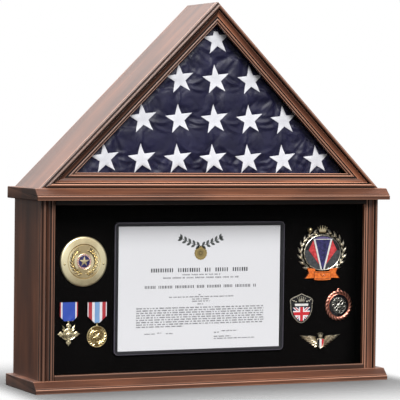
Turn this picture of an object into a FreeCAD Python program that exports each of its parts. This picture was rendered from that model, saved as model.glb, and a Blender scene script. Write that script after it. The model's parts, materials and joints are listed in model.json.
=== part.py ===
"""Folded flag display case: a triangular flag case standing on a certificate and medal shadow box.

Millimetres. X runs to the right, Y to the back and Z up. The origin is the middle of the base's
underside, so the front of the case looks along -Y.
"""
import FreeCAD, Part
import math
import os
import re

import Sketcher
from FreeCAD import Placement, Rotation, Vector

# Driving dimensions. Items on the display board are placed by their centre, across and up.
DIMENSIONS = {
    # Base and top boards, alike, with a bevelled front edge
    "board_width": 640, "board_depth": 143, "board_thickness": 19, "overhang": 13,
    "bevel_run": 11, "fascia_height": 7, "fascia_step": 2, "quirk": 1.5,
    # Shadow box and flag case walls
    "box_height": 289, "wall": 13, "rebate_width": 6.5, "rebate_depth": 15,
    "rail_height": 8, "rail_thickness": 10.5,
    # Front moulding, measured from its inner edge outwards and from its back forwards
    "moulding_width": 25, "moulding_thickness": 14, "fillet_width": 1.6, "channel_width": 1.4,
    "channel_floor": 4.9, "lip_width": 6, "lip_height": 6.4, "lip_radius": 1.9,
    "groove_width": 2.4, "groove_floor": 4.6, "cove_end": 15.7, "cove_low": 6.2, "cove_high": 11,
    "cove_hollow": 7, "quirk_floor": 8.5, "bead_start": 17.8, "bead_end": 22, "bead_height": 12.55,
    "bead_radius": 2.25, "edge_height": 7.5,
    # Glass, its stops, and the clearance of sheets in their openings
    "glass": 3, "stop": 6, "play": 0.5,
    # Display board and the panel that closes the box behind it
    "display_depth": 56, "felt": 1.5, "backer": 6, "board_play": 1, "panel": 5,
    "spacer_thickness": 12, "spacer_height": 250, "spacer_spread": 200,
    "knob_diameter": 18, "knob_height": 9, "knob_neck": 9, "knob_neck_height": 3, "knob_round": 2,
    "magnet_diameter": 5, "magnet_length": 4, "strike_thickness": 1,
    "magnet_inset": 45, "flag_magnet_spread": 150,
    # Countersunk wood screws
    "screw_head": 8, "screw_head_height": 2.2, "screw_shank": 4, "screw_length": 40,
    "screw_spread": 34, "floor_screw_length": 28, "floor_screw_spread": 180,
    # Folded flag and its stars
    "flag_thickness": 82, "flag_side_gap": 4, "flag_floor_gap": 0.3, "flag_corner": 14, "flag_edge": 10,
    "star_radius": 26, "star_inner": 0.39, "star_pitch": 64.4, "star_row": 65.8, "star_low": 34.5,
    "star_tilt": 7, "star_shift": 2.2, "star_lean": 1.3, "star_fold": 9.8, "star_thickness": 0.6,
    # Certificate in its holder
    "holder_x": -4.5, "holder_z": 159.8, "holder_width": 313, "holder_height": 220, "holder_corner": 8,
    "holder_thickness": 5, "recess_depth": 2.6, "paper_width": 297, "paper_height": 210,
    "paper": 0.5, "paper_play": 1, "cover": 1.2,
    # Round medallion
    "medallion_x": -214.5, "medallion_z": 206.2, "medallion_diameter": 82.5, "medallion_rim": 3,
    "medallion_thickness": 5, "medallion_field": 27.5, "medallion_groove": 0.8, "emblem_radius": 9,
    "emblem": 1, "rivet_spread": 33.9, "rivet_drop": 4.2, "rivet_head": 1.7, "rivet_height": 1,
    # Medals: ribbons on brooches, a bar at the ribbon's foot, a ring, and the pendant that swings
    "left_medal_x": -239.6, "left_medal_top": 140.2, "left_medal_foot": 109.6, "left_foot_width": 16,
    "right_medal_x": -190, "right_medal_top": 139.2, "right_medal_foot": 105.3, "right_foot_width": 9,
    "left_ribbon_width": 31, "right_ribbon_width": 33.5, "ribbon_straight": 23, "ribbon": 1.2,
    "notch_width": 2.4, "notch_height": 2.8,
    "brooch_height": 6, "brooch": 2.1, "bar_radius": 0.5, "ring_radius": 1.8, "ring_wire": 0.45,
    "bar_rise": 0.75, "eye_hole": 0.8, "eye_wall": 0.6,
    "pendant": 1.4, "cross_size": 40.5, "cross_arm": 3.3, "cross_flare": 5, "cross_wing": 17.5,
    "disc_diameter": 35.5, "disc_lug": 4.2, "lug_rise": 3.6, "disc_rim": 1.3, "disc_field": 14.8,
    # Wreath badge with an oval shield and a banner
    "wreath_x": 226.4, "wreath_z": 215, "wreath_half_width": 41.8, "wreath_half_height": 35.5,
    "wreath_band": 1.6, "wreath_thickness": 1.6, "leaf_length": 11.5, "leaf_width": 4.6,
    "oval_width": 70.7, "oval_height": 61, "oval_thickness": 2.4, "enamel": 0.5,
    "stripe_top": 24, "stripe_half_width": 16.5, "stripe_foot": 2.4,
    "wedge_half_width": 27.5, "wedge_level": 6,
    "crown_width": 17, "crown_height": 12.5, "crown_base": 34,
    "banner_z": 175.4, "banner_width": 66.5, "banner_height": 15.8, "banner_middle": 31, "banner_drop": 5,
    "banner_thickness": 1.2,
    # Small pins
    "ball_x": 199.5, "ball_z": 254.2, "ball_radius": 4.8, "ball_stand": 1.2, "needle": 0.6,
    "shield_x": 187.2, "shield_z": 119.8, "shield_width": 45, "shield_height": 51.7,
    "shield_thickness": 2, "shield_rim": 3.4, "shield_waist": 0.92, "shield_shoulder": 0.64,
    "shield_neck": 0.3, "shield_hip": -0.1, "field_share": 0.86, "field_top": 0.16,
    "rosette_x": 259.7, "rosette_z": 123, "rosette_radius": 24.2, "rosette_thickness": 2.6,
    "rosette_well": 19, "rosette_well_depth": 1.2, "rosette_loop": 3.4, "rosette_loop_hole": 1.7,
    "rosette_dome": 15.5, "rosette_shoulder": 0.7, "scallop_radius": 4.2,
    "wings_x": 224.6, "wings_z": 63.8, "wings_width": 80.5, "wings_height": 28.4,
    "wings_thickness": 2,
    "crest_width": 13, "crest_height": 20, "crest": 0.8, "crest_drop": 3.4,
    "post_radius": 0.6, "post_depth": 5.5, "post_spread": 12,
}

STAR_ROWS = 4
STAR_POINTS = 5
LEAF_STATIONS = 9
LEAF_START = -68
LEAF_STEP = 16.6
LEAF_TILT = 23
SCALLOPS = 20
CROSS_SPOKES = 8
NEARLY_NOTHING = 1e-9

doc = FreeCAD.newDocument("flag_display_case")
sheet = doc.addObject("Spreadsheet::Sheet", "dims")
for row, (alias, size) in enumerate(DIMENSIONS.items(), start=1):
    sheet.set(f"A{row}", alias)
    sheet.set(f"B{row}", str(size))
    sheet.setAlias(f"B{row}", alias)
doc.recompute()

pieces = []


def dims(text):
    """An expression with each of the sheet's names written the way other objects read it."""
    return re.sub(r"[a-z_]\w*",
                  lambda word: ("dims." if word[0] in DIMENSIONS else "") + word[0], str(text))


def mm(text):
    """The present value of an expression."""
    return float(sheet.evalExpression(dims(text)))


# Levels and planes of the case, as expressions on the sheet
FRONT = "(overhang - board_depth / 2)"
REAR = "(board_depth / 2)"
WALL_FRONT = f"({FRONT} + moulding_thickness)"
GLASS_BACK = f"({WALL_FRONT} + glass)"
STOP_BACK = f"({GLASS_BACK} + stop)"
PANEL_FRONT = f"({REAR} - rebate_depth)"
PANEL_BACK = f"({PANEL_FRONT} + panel)"
HALF_CASE = "(board_width / 2 - overhang)"
BOX_FLOOR = "board_thickness"
BOX_CEILING = "(board_thickness + box_height)"
FLAG_BASE = "(2 * board_thickness + box_height)"
WALL_DEPTH = f"({REAR} - {WALL_FRONT})"
FELT_FRONT = f"({FRONT} + display_depth)"
BACKER_FRONT = f"({FELT_FRONT} + felt)"
BACKER_BACK = f"({BACKER_FRONT} + backer)"
INNER_HALF = f"({HALF_CASE} - wall)"
RIBBON_BACK = f"({FELT_FRONT} - brooch)"
PENDANT_MIDDLE = f"({RIBBON_BACK} - ribbon / 2)"


def keep(label, obj):
    """Name an object as one of the sub-parts to write."""
    obj.Label = label
    pieces.append(obj)
    return obj


def place(obj, x=0, y=0, z=0, rotation=None):
    """Set an object's place, bound to the sheet."""
    if rotation is not None:
        obj.Placement = Placement(Vector(), rotation)
    for axis, where in zip("xyz", (x, y, z)):
        obj.setExpression(f"Placement.Base.{axis}", dims(where))
    return obj


def box(name, low, size):
    """A box from its low corner."""
    solid = doc.addObject("Part::Box", name)
    for side, length in zip(("Length", "Width", "Height"), size):
        solid.setExpression(side, dims(length))
    return place(solid, *low)


def cylinder(name, start, direction, radius, length):
    """A round bar from one end along a direction."""
    solid = doc.addObject("Part::Cylinder", name)
    solid.setExpression("Radius", dims(radius))
    solid.setExpression("Height", dims(length))
    return place(solid, *start, Rotation(Vector(0, 0, 1), Vector(*direction)))


def group(name, members):
    """Separate solids that share one node."""
    gathered = doc.addObject("Part::Compound", name)
    gathered.Links = members
    return gathered


def fuse(name, members):
    """One solid from several."""
    joined = doc.addObject("Part::MultiFuse", name)
    joined.Shapes = members
    joined.Refine = True
    return joined


def cut(name, base, tool):
    """A solid with another taken out of it."""
    left = doc.addObject("Part::Cut", name)
    left.Base = base
    left.Tool = tool
    return left


def common(name, base, tool):
    """What two solids share."""
    shared = doc.addObject("Part::Common", name)
    shared.Base = base
    shared.Tool = tool
    return shared


def near_end(sketch, geometry, spot):
    """Which end of a line or arc lies at a spot."""
    return min((1, 2), key=lambda end: sketch.getPoint(geometry, end).distanceToPoint(spot))


def bulge(start, end, radius):
    """A shallow arc between two points, on the right of the way along for a positive radius."""
    chord = end - start
    half = chord.Length / 2
    rise = abs(radius) - math.sqrt(radius * radius - half * half)
    side = Vector(chord.y, -chord.x, 0).normalize() * math.copysign(rise, radius)
    return Part.Arc(start, (start + end) / 2 + side, end)


def outline(body, plane, points, offset=0):
    """A closed sketch through points given as pairs of expressions.

    A third value is the radius of the arc that leads from that point to the next.
    """
    sketch = body.newObject("Sketcher::SketchObject", body.Name + "_outline")
    planes = {feature.Role: feature for feature in body.Origin.OriginFeatures}
    sketch.AttachmentSupport = (planes[plane], [""])
    sketch.MapMode = "FlatFace"
    sketch.setExpression("AttachmentOffset.Base.z", dims(offset))
    spots = [Vector(mm(point[0]), mm(point[1]), 0) for point in points]
    count = len(points)
    for index, point in enumerate(points):
        start, end = spots[index], spots[(index + 1) % count]
        curved = len(point) == 3
        sketch.addGeometry(bulge(start, end, mm(point[2])) if curved else Part.LineSegment(start, end))
    for index, point in enumerate(points):
        before = (index - 1) % count
        here = near_end(sketch, index, spots[index])
        sketch.addConstraint(Sketcher.Constraint(
            "Coincident", before, near_end(sketch, before, spots[index]), index, here))
        for kind, axis, text, value in zip(("DistanceX", "DistanceY"), (-2, -1), point, spots[index]):
            if abs(value) < NEARLY_NOTHING:
                sketch.addConstraint(Sketcher.Constraint("PointOnObject", index, here, axis))
                continue
            number = sketch.addConstraint(Sketcher.Constraint(kind, -1, 1, index, here, value))
            sketch.setExpression(f"Constraints[{number}]", dims(text))
        if len(point) == 3:
            number = sketch.addConstraint(Sketcher.Constraint("Radius", index, abs(mm(point[2]))))
            sketch.setExpression(f"Constraints[{number}]", dims(f"abs({point[2]})"))
    return sketch


def pad(body, sketch, length, backwards=False):
    """Raise a sketch along its normal, or the other way."""
    raised = body.newObject("PartDesign::Pad", body.Name + "_pad")
    raised.Profile = sketch
    raised.setExpression("Length", dims(length))
    raised.Reversed = backwards
    return raised


def prism(name, points, start, depth):
    """An upright outline, across and up, that runs from a plane to the back."""
    body = doc.addObject("PartDesign::Body", name)
    pad(body, outline(body, "XZ_Plane", points), depth, backwards=True)
    return place(body, y=start)


def plate(name, points, x, z, thickness, back=FELT_FRONT):
    """An outline about its own centre that stands forward from a plane."""
    body = doc.addObject("PartDesign::Body", name)
    pad(body, outline(body, "XZ_Plane", points), thickness)
    return place(body, x, back, z)


def turned(name, points, x, y, z, facing=-1):
    """A profile of radius and height turned about the Y axis, standing to the front or to the back."""
    body = doc.addObject("PartDesign::Body", name)
    profile = [(point[0], f"({facing}) * ({point[1]})", *point[2:]) for point in points]
    sketch = outline(body, "XY_Plane", profile)
    spun = body.newObject("PartDesign::Revolution", name + "_turn")
    spun.Profile = sketch
    spun.ReferenceAxis = (sketch, ["V_Axis"])
    spun.Angle = 360
    return place(body, x, y, z)


def mirrored(points):
    """An outline completed on its left from the points of its right half, first to last."""
    left = [(f"-({point[0]})", point[1]) for point in reversed(points)
            if mm(point[0]) > NEARLY_NOTHING]
    return points + left


def flag_corner(side, inset):
    """A corner of the flag case's triangle, set in from its faces: left -1, apex 0, right 1."""
    if side == 0:
        return ("0", f"{FLAG_BASE} + {HALF_CASE} - ({inset}) * sqrt(2)")
    return (f"{side} * ({HALF_CASE} - ({inset}) * (1 + sqrt(2)))", f"{FLAG_BASE} + ({inset})")


def flag_strip(sides, outer, inner):
    """The mitred outline along one side of the triangle, between two insets."""
    first, last = sides
    return [flag_corner(first, outer), flag_corner(last, outer),
            flag_corner(last, inner), flag_corner(first, inner)]


FLAG_SIDES = {"left": (-1, 0), "right": (0, 1), "bottom": (1, -1)}


def front_edged_board(name, level):
    """A board whose front edge falls in a flat bevel to a quirk and a narrow fascia."""
    body = doc.addObject("PartDesign::Body", name)
    bevel_foot = f"{FRONT} - bevel_run"
    points = [
        (REAR, "0"), (REAR, "board_thickness"),
        (FRONT, "board_thickness"),
        (bevel_foot, "fascia_height + quirk"), (bevel_foot, "fascia_height"),
        (f"{bevel_foot} - fascia_step", "fascia_height"), (f"{bevel_foot} - fascia_step", "0"),
    ]
    pad(body, outline(body, "YZ_Plane", points), "board_width")
    return place(body, "-board_width / 2", 0, level)


def moulding(name, length):
    """A length of front moulding: fillet, inner bead, groove, hollow cove, quirk, outer bead and edge."""
    body = doc.addObject("PartDesign::Body", name)
    cove_start = "lip_width + groove_width"
    lip_start = "fillet_width + channel_width"
    points = [
        ("0", "0"), ("moulding_width", "0"), ("moulding_width", "edge_height"),
        ("bead_end", "edge_height"), ("bead_end", "bead_height", "bead_radius"),
        ("bead_start", "bead_height"), ("bead_start", "quirk_floor"), ("cove_end", "quirk_floor"),
        ("cove_end", "cove_high", "-cove_hollow"), (cove_start, "cove_low"), (cove_start, "groove_floor"),
        ("lip_width", "groove_floor"), ("lip_width", "lip_height", "lip_radius"), (lip_start, "lip_height"),
        (lip_start, "channel_floor"), ("fillet_width", "channel_floor"), ("fillet_width", "lip_height"),
        ("0", "lip_height"),
    ]
    pad(body, outline(body, "XY_Plane", points), length)
    return body


def along(outward):
    """The turn that points a moulding's outer edge outward and its face to the front."""
    across = Vector(*outward).normalize()
    forward = Vector(0, -1, 0)
    return Rotation(across, forward, across.cross(forward), "XYZ")


def screw(name, x, y, z, up, length):
    """A countersunk screw from the face of its head, driven up (1) or down (-1)."""
    head = doc.addObject("Part::Cone", name + "_head")
    head.setExpression("Radius1", dims("screw_head / 2"))
    head.setExpression("Radius2", dims("screw_shank / 2"))
    head.setExpression("Height", dims("screw_head_height"))
    place(head, x, y, z, Rotation(Vector(0, 0, 1), Vector(0, 0, up)))
    shank = cylinder(name + "_shank", (x, y, z), (0, 0, up), "screw_shank / 2", length)
    return fuse(name, [head, shank])


# Screws: up through the base and down through the top board into the side panels, and from the
# flag case's floor down into the top board
carcass_screws = []
for side in (-1, 1):
    for place_along in (-1, 1):
        x = f"{side} * ({HALF_CASE} - wall / 2 + play)"
        y = f"{WALL_FRONT} + {WALL_DEPTH} / 2 + ({place_along}) * screw_spread"
        tag = f"{'left' if side < 0 else 'right'}_{'front' if place_along < 0 else 'rear'}"
        carcass_screws.append(screw(f"base_screw_{tag}", x, y, "0", 1, "screw_length"))
        carcass_screws.append(screw(f"top_screw_{tag}", x, y, FLAG_BASE, -1, "screw_length"))
floor_screws = []
for side in (-1, 1):
    for place_along in (-1, 1):
        y = f"{WALL_FRONT} + {WALL_DEPTH} / 2 + ({place_along}) * screw_spread"
        name = f"floor_screw_{'left' if side < 0 else 'right'}_{'front' if place_along < 0 else 'rear'}"
        floor_screws.append(screw(name, f"{side} * floor_screw_spread", y, f"{FLAG_BASE} + wall", -1,
                                  "floor_screw_length"))
screws = keep("case_screws", group("screw_group", carcass_screws + floor_screws))

# Magnets that hold the two lift-out panels, let into the shoulders of their rebates
rebate_middle = "(wall - rebate_width / 2)"
box_spots = [(f"{side} * ({HALF_CASE} - {rebate_middle})", level)
             for side in (-1, 1)
             for level in (f"{BOX_FLOOR} + magnet_inset", f"{BOX_CEILING} - magnet_inset")]
flag_spots = []
for side in (-1, 1):
    flag_spots.append((f"{side} * ({HALF_CASE} / 2 - {rebate_middle} / sqrt(2))",
                       f"{FLAG_BASE} + {HALF_CASE} / 2 - {rebate_middle} / sqrt(2)"))
    flag_spots.append((f"{side} * flag_magnet_spread", f"{FLAG_BASE} + {rebate_middle}"))


def panel_rounds(name, spots, start, length):
    """Round pieces on the panels' holding points."""
    return [cylinder(f"{name}_{index}", (x, start, z), (0, 1, 0), "magnet_diameter / 2", length)
            for index, (x, z) in enumerate(spots, start=1)]


magnets = keep("panel_magnets", group("magnet_group", panel_rounds(
    "magnet", box_spots + flag_spots, f"{PANEL_FRONT} - magnet_length", "magnet_length")))
box_strikes = keep("rear_strike_discs", group("rear_strike_group", panel_rounds(
    "rear_strike", box_spots, PANEL_FRONT, "strike_thickness")))
flag_strikes = keep("flag_strike_discs", group("flag_strike_group", panel_rounds(
    "flag_strike", flag_spots, PANEL_FRONT, "strike_thickness")))

# Shadow box: boards, side panels, stiles and rails
for name, level in (("base", "0"), ("top", BOX_CEILING)):
    keep(f"{name}_board", cut(f"{name}_drilled", front_edged_board(f"{name}_blank", level), screws))

for name, side in (("left", -1), ("right", 1)):
    outer = f"{HALF_CASE}" if side > 0 else f"-{HALF_CASE} + wall"
    slab = box(f"{name}_slab", (f"{outer} - wall", WALL_FRONT, BOX_FLOOR),
               ("wall", WALL_DEPTH, "box_height"))
    inner = INNER_HALF if side > 0 else f"-{INNER_HALF} - rebate_width"
    rebate = box(f"{name}_rebate", (inner, PANEL_FRONT, BOX_FLOOR),
                 ("rebate_width", "rebate_depth", "box_height"))
    rebated = cut(f"{name}_rebated", slab, rebate)
    drilled = cut(f"{name}_drilled", rebated, screws)
    keep(f"{name}_side_panel", cut(f"{name}_fitted", drilled, magnets))
    stile = moulding(f"{name}_stile_bar", "box_height")
    place(stile, f"{side} * ({HALF_CASE} - moulding_width)", WALL_FRONT,
          BOX_FLOOR if side < 0 else BOX_CEILING, along((side, 0, 0)))
    keep(f"{name}_stile", stile)

window_half = f"({HALF_CASE} - moulding_width)"
for name, level in (("bottom", BOX_FLOOR), ("top", f"{BOX_CEILING} - rail_height")):
    keep(f"{name}_rail", box(f"{name}_rail_bar", (
        f"-{window_half}", f"{WALL_FRONT} - rail_thickness", level),
        (f"2 * {window_half}", "rail_thickness", "rail_height")))

keep("box_glass", box("box_pane", (f"-{INNER_HALF} + play", WALL_FRONT, f"{BOX_FLOOR} + play"),
                      (f"2 * ({INNER_HALF} - play)", "glass", "box_height - 2 * play")))
box_stops = []
for name, level in (("bottom", BOX_FLOOR), ("top", f"{BOX_CEILING} - stop")):
    box_stops.append(box(f"{name}_stop", (f"-{INNER_HALF}", GLASS_BACK, level),
                         (f"2 * {INNER_HALF}", "stop", "stop")))
for name, edge in (("left", f"-{INNER_HALF}"), ("right", f"{INNER_HALF} - stop")):
    box_stops.append(box(f"{name}_stop", (edge, GLASS_BACK, f"{BOX_FLOOR} + stop"),
                         ("stop", "stop", "box_height - 2 * stop")))
keep("box_glass_stops", group("box_stop_group", box_stops))

# Flag case: mitred walls with a rebate behind, mouldings, glass and stops
for name, sides in FLAG_SIDES.items():
    wall = doc.addObject("PartDesign::Body", f"{name}_wall")
    before_rebate = f"({PANEL_FRONT} - {WALL_FRONT})"
    pad(wall, outline(wall, "XZ_Plane", flag_strip(sides, "0", "wall")), before_rebate, True)
    behind = outline(wall, "XZ_Plane", flag_strip(sides, "0", "wall - rebate_width"), f"-{before_rebate}")
    pad(wall, behind, "rebate_depth", True)
    place(wall, y=WALL_FRONT)
    walled = cut(f"{name}_wall_fitted", wall, magnets)
    if name == "bottom":
        walled = cut("floor_drilled", walled, screws)
    keep("flag_case_floor" if name == "bottom" else f"{name}_rafter", walled)

OUTWARD = {"left": (-1, 0, 1), "right": (1, 0, 1), "bottom": (0, 0, -1)}
for name, sides in FLAG_SIDES.items():
    bar = moulding(f"{name}_bar", f"2 * {HALF_CASE}")
    corner = flag_corner(sides[0], "moulding_width")
    reach = Vector(*OUTWARD[name]).normalize().cross(Vector(0, -1, 0))
    lead = "moulding_width * (1 + sqrt(2))"
    place(bar, f"{corner[0]} - ({reach.x}) * {lead}", WALL_FRONT, f"{corner[1]} - ({reach.z}) * {lead}",
          along(OUTWARD[name]))
    mitre = prism(f"{name}_mitre", flag_strip(sides, "0", "moulding_width"), FRONT, "moulding_thickness")
    keep(f"{name}_moulding", common(f"{name}_mitred", bar, mitre))

pane = [flag_corner(side, "wall + play") for side in (-1, 1, 0)]
keep("flag_glass", prism("flag_pane", pane, WALL_FRONT, "glass"))
keep("flag_glass_stops", group("flag_stop_group", [
    prism(f"flag_{name}_stop", flag_strip(sides, "wall", "wall + stop"), GLASS_BACK, "stop")
    for name, sides in FLAG_SIDES.items()]))


def flag_outline(inset):
    """The folded flag's triangle: it stands on the floor and clears the rafters."""
    low = f"({FLAG_BASE} + wall + flag_floor_gap + ({inset}))"
    slope = f"((wall + flag_side_gap + ({inset})) * sqrt(2))"
    tip = f"({HALF_CASE} - ({low} - {FLAG_BASE}) - {slope})"
    return [(f"-{tip}", low), (tip, low), ("0", f"{FLAG_BASE} + {HALF_CASE} - {slope}")]


def edges_of(shape, chosen):
    """The names of a shape's edges that pass a test."""
    return [f"Edge{number}" for number, edge in enumerate(shape.Edges, start=1) if chosen(edge)]


def rounded(body, feature, name, radius, chosen):
    """Fillet the chosen edges of a body's last feature."""
    doc.recompute()
    fillet = body.newObject("PartDesign::Fillet", name)
    fillet.Base = (feature, edges_of(feature.Shape, chosen))
    fillet.setExpression("Radius", dims(radius))
    return fillet


# Folded flag: a thick triangle with rounded corners and soft edges
flag = doc.addObject("PartDesign::Body", "flag_bundle")
flag_block = pad(flag, outline(flag, "XZ_Plane", flag_outline("0")), "flag_thickness", True)
flag_corners = rounded(flag, flag_block, "flag_corners", "flag_corner",
                       lambda edge: edge.BoundBox.YLength > mm("flag_thickness") / 2)
rounded(flag, flag_corners, "flag_soft_edges", "flag_edge",
        lambda edge: edge.BoundBox.YLength < 1)
keep("folded_flag", place(flag, y=f"{STOP_BACK} + play"))


def star_face(across, up, y):
    """A five-pointed star, leaning a little, on an upright plane."""
    corners = []
    for step in range(2 * STAR_POINTS):
        reach = mm("star_radius") * (1 if step % 2 == 0 else mm("star_inner"))
        angle = math.radians(90 + mm("star_tilt") + 180 * step / STAR_POINTS)
        corners.append(Vector(across + reach * math.cos(angle), y, up + reach * math.sin(angle)))
    return Part.Face(Part.makePolygon(corners + corners[:1]))


# Stars: odd rows of one, three, five and seven, cut off where the cloth folds away
flag_face_y = mm(f"{STOP_BACK} + play")
face_corners = [Vector(mm(x), flag_face_y, mm(z)) for x, z in flag_outline("flag_edge")]
apex = face_corners.pop()
fold = mm("star_fold")
face_corners += [Vector(side * fold, flag_face_y, apex.z - fold) for side in (1, -1)]
flat_front = Part.Face(Part.makePolygon(face_corners + face_corners[:1]))
flat_front = flat_front.extrude(Vector(0, -mm("star_thickness"), 0))
star_solids = []
for star_row in range(STAR_ROWS):
    up = mm(f"{FLAG_BASE} + wall + star_low") + star_row * mm("star_row")
    row_middle = mm("star_shift") + star_row * mm("star_lean")
    many = 2 * (STAR_ROWS - star_row) - 1
    for column in range(many):
        across = row_middle + (column - (many - 1) / 2) * mm("star_pitch")
        star = star_face(across, up, flag_face_y).extrude(Vector(0, -mm("star_thickness"), 0))
        star_solids.append(star.common(flat_front).Solids[0])
stars = doc.addObject("Part::Feature", "star_group")
stars.Shape = Part.makeCompound(star_solids)
keep("flag_stars", stars)

# Lift-out panels and their knobs
rear_sheet = box("rear_sheet", (f"-{INNER_HALF} - rebate_width + play", PANEL_FRONT, f"{BOX_FLOOR} + play"),
                 (f"2 * ({INNER_HALF} + rebate_width - play)", "panel", "box_height - 2 * play"))
keep("rear_panel", cut("rear_panel_fitted", rear_sheet, box_strikes))
flag_sheet = prism("flag_sheet", [flag_corner(side, "wall - rebate_width + play") for side in (-1, 1, 0)],
                   PANEL_FRONT, "panel")
keep("flag_panel", cut("flag_panel_fitted", flag_sheet, flag_strikes))

KNOB = [
    ("0", "0"), ("knob_neck / 2", "0"), ("knob_neck / 2", "knob_neck_height"),
    ("knob_diameter / 2", "knob_neck_height"), ("knob_diameter / 2", "knob_height - knob_round"),
    ("knob_diameter / 2 - knob_round", "knob_height"), ("0", "knob_height"),
]
keep("rear_panel_knob", turned("rear_knob", KNOB, 0, PANEL_BACK, f"({BOX_FLOOR} + {BOX_CEILING}) / 2", 1))
keep("flag_panel_knob", turned("flag_knob", KNOB, 0, PANEL_BACK, f"{FLAG_BASE} + {HALF_CASE} / 3", 1))

# Pins that hold the badges, through the felt into the backer
post_spots = {
    "wreath": [("wreath_x - post_spread", "wreath_z"), ("wreath_x + post_spread", "wreath_z")],
    "shield": [("shield_x", "shield_z + post_spread"), ("shield_x", "shield_z - post_spread")],
    "rosette": [("rosette_x - post_spread", "rosette_z"), ("rosette_x + post_spread", "rosette_z")],
    "wings": [("wings_x - 1.5 * post_spread", "wings_z"), ("wings_x + 1.5 * post_spread", "wings_z")],
    "left_medal": [("left_medal_x", "left_medal_top - brooch_height / 2")],
    "right_medal": [("right_medal_x", "right_medal_top - brooch_height / 2")],
    "medallion": [("medallion_x - rivet_spread", "medallion_z - rivet_drop"),
                  ("medallion_x + rivet_spread", "medallion_z - rivet_drop")],
}
posts = [cylinder(f"{name}_post_{index}", (x, FELT_FRONT, z), (0, 1, 0), "post_radius", "post_depth")
         for name, spots in post_spots.items() for index, (x, z) in enumerate(spots, start=1)]
posts = keep("badge_posts", group("post_group", posts))

# Push pin: a ball head on a needle
ball = doc.addObject("Part::Sphere", "ball_head")
ball.setExpression("Radius", dims("ball_radius"))
ball_middle = ("ball_x", f"{FELT_FRONT} - ball_stand - ball_radius", "ball_z")
place(ball, *ball_middle)
needle = cylinder("ball_needle", ball_middle, (0, 1, 0), "needle",
                  "ball_stand + ball_radius + post_depth")
push_pin = keep("push_pin", fuse("ball_pin", [ball, needle]))

# Display board: felt on a backer, two spacers and the rear panel make one lift-out unit
pinned = group("pinned_holes", [posts, push_pin])
board_low = (f"-{INNER_HALF} + board_play", f"{BOX_FLOOR} + board_play")
board_size = (f"2 * ({INNER_HALF} - board_play)", "box_height - 2 * board_play")
for label, start, thick in (("felt_sheet", FELT_FRONT, "felt"), ("display_backer", BACKER_FRONT, "backer")):
    blank = box(label + "_blank", (board_low[0], start, board_low[1]),
                (board_size[0], thick, board_size[1]))
    keep(label, cut(label + "_pierced", blank, pinned))
for name, side in (("left", -1), ("right", 1)):
    keep(f"{name}_spacer", box(f"{name}_spacer_block", (
        f"{side} * spacer_spread - spacer_thickness / 2", BACKER_BACK,
        f"({BOX_FLOOR} + {BOX_CEILING} - spacer_height) / 2"),
        ("spacer_thickness", f"{PANEL_FRONT} - {BACKER_BACK}", "spacer_height")))


def rounded_rectangle(width, height, corner):
    """An outline with round corners about its own centre."""
    points = []
    for right, up in ((1, -1), (1, 1), (-1, 1), (-1, -1)):
        side = (f"{right} * {width} / 2", f"{up} * ({height} / 2 - {corner})")
        cap = (f"{right} * ({width} / 2 - {corner})", f"{up} * {height} / 2")
        first, second = (side, cap) if right * up > 0 else (cap, side)
        points.append((*first, corner))
        points.append(second)
    return points


# Certificate: a tray, the sheet in it and a clear cover in front
tray = plate("certificate_tray", rounded_rectangle("holder_width", "holder_height", "holder_corner"),
             "holder_x", "holder_z", "holder_thickness")
recess_half = ("(paper_width + 2 * paper_play) / 2", "(paper_height + 2 * paper_play) / 2")
recess = [(f"{right} * {recess_half[0]}", f"{up} * {recess_half[1]}")
          for right, up in ((-1, -1), (1, -1), (1, 1), (-1, 1))]
pocket = tray.newObject("PartDesign::Pocket", "tray_recess")
pocket.Profile = outline(tray, "XZ_Plane", recess, "holder_thickness")
pocket.setExpression("Length", dims("recess_depth"))
keep("certificate_holder", tray)
recess_floor = f"{FELT_FRONT} - holder_thickness + recess_depth"
keep("certificate_sheet", box("certificate_paper", (
    "holder_x - paper_width / 2", f"{recess_floor} - paper", "holder_z - paper_height / 2"),
    ("paper_width", "paper", "paper_height")))
keep("certificate_cover", box("certificate_pane", (
    "holder_x - paper_width / 2 - paper_play / 2", f"{recess_floor} - paper - cover",
    "holder_z - paper_height / 2 - paper_play / 2"),
    ("paper_width + paper_play", "cover", "paper_height + paper_play")))

# Medallion: a turned disc with a groove round its field, a raised star and two rivets
medallion_edge = "medallion_diameter / 2"
keep("medallion", turned("medallion_disc", [
    ("0", "0"), (medallion_edge, "0"), (medallion_edge, "medallion_rim"),
    (f"{medallion_edge} - 2 * medallion_groove", "medallion_thickness - medallion_groove"),
    ("medallion_field + 2 * medallion_groove", "medallion_thickness"),
    ("medallion_field + medallion_groove", "medallion_thickness - medallion_groove"),
    ("medallion_field", "medallion_thickness - medallion_groove"),
    ("medallion_field - medallion_groove", "medallion_thickness"),
    ("0", "medallion_thickness"),
], "medallion_x", FELT_FRONT, "medallion_z"))
medallion_face = f"{FELT_FRONT} - medallion_thickness"
emblem = [(f"emblem_radius * {1 if step % 2 == 0 else 'star_inner'} * sin({step * 180 / STAR_POINTS} deg)",
           f"emblem_radius * {1 if step % 2 == 0 else 'star_inner'} * cos({step * 180 / STAR_POINTS} deg)")
          for step in range(2 * STAR_POINTS)]
keep("medallion_emblem", plate("medallion_star", emblem, "medallion_x", "medallion_z", "emblem",
                               medallion_face))
keep("medallion_rivets", group("rivet_group", [
    cylinder(f"rivet_{name}", (f"medallion_x + ({side}) * rivet_spread", medallion_face,
                               "medallion_z - rivet_drop"), (0, -1, 0), "rivet_head", "rivet_height")
    for name, side in (("left", -1), ("right", 1))]))

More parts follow.
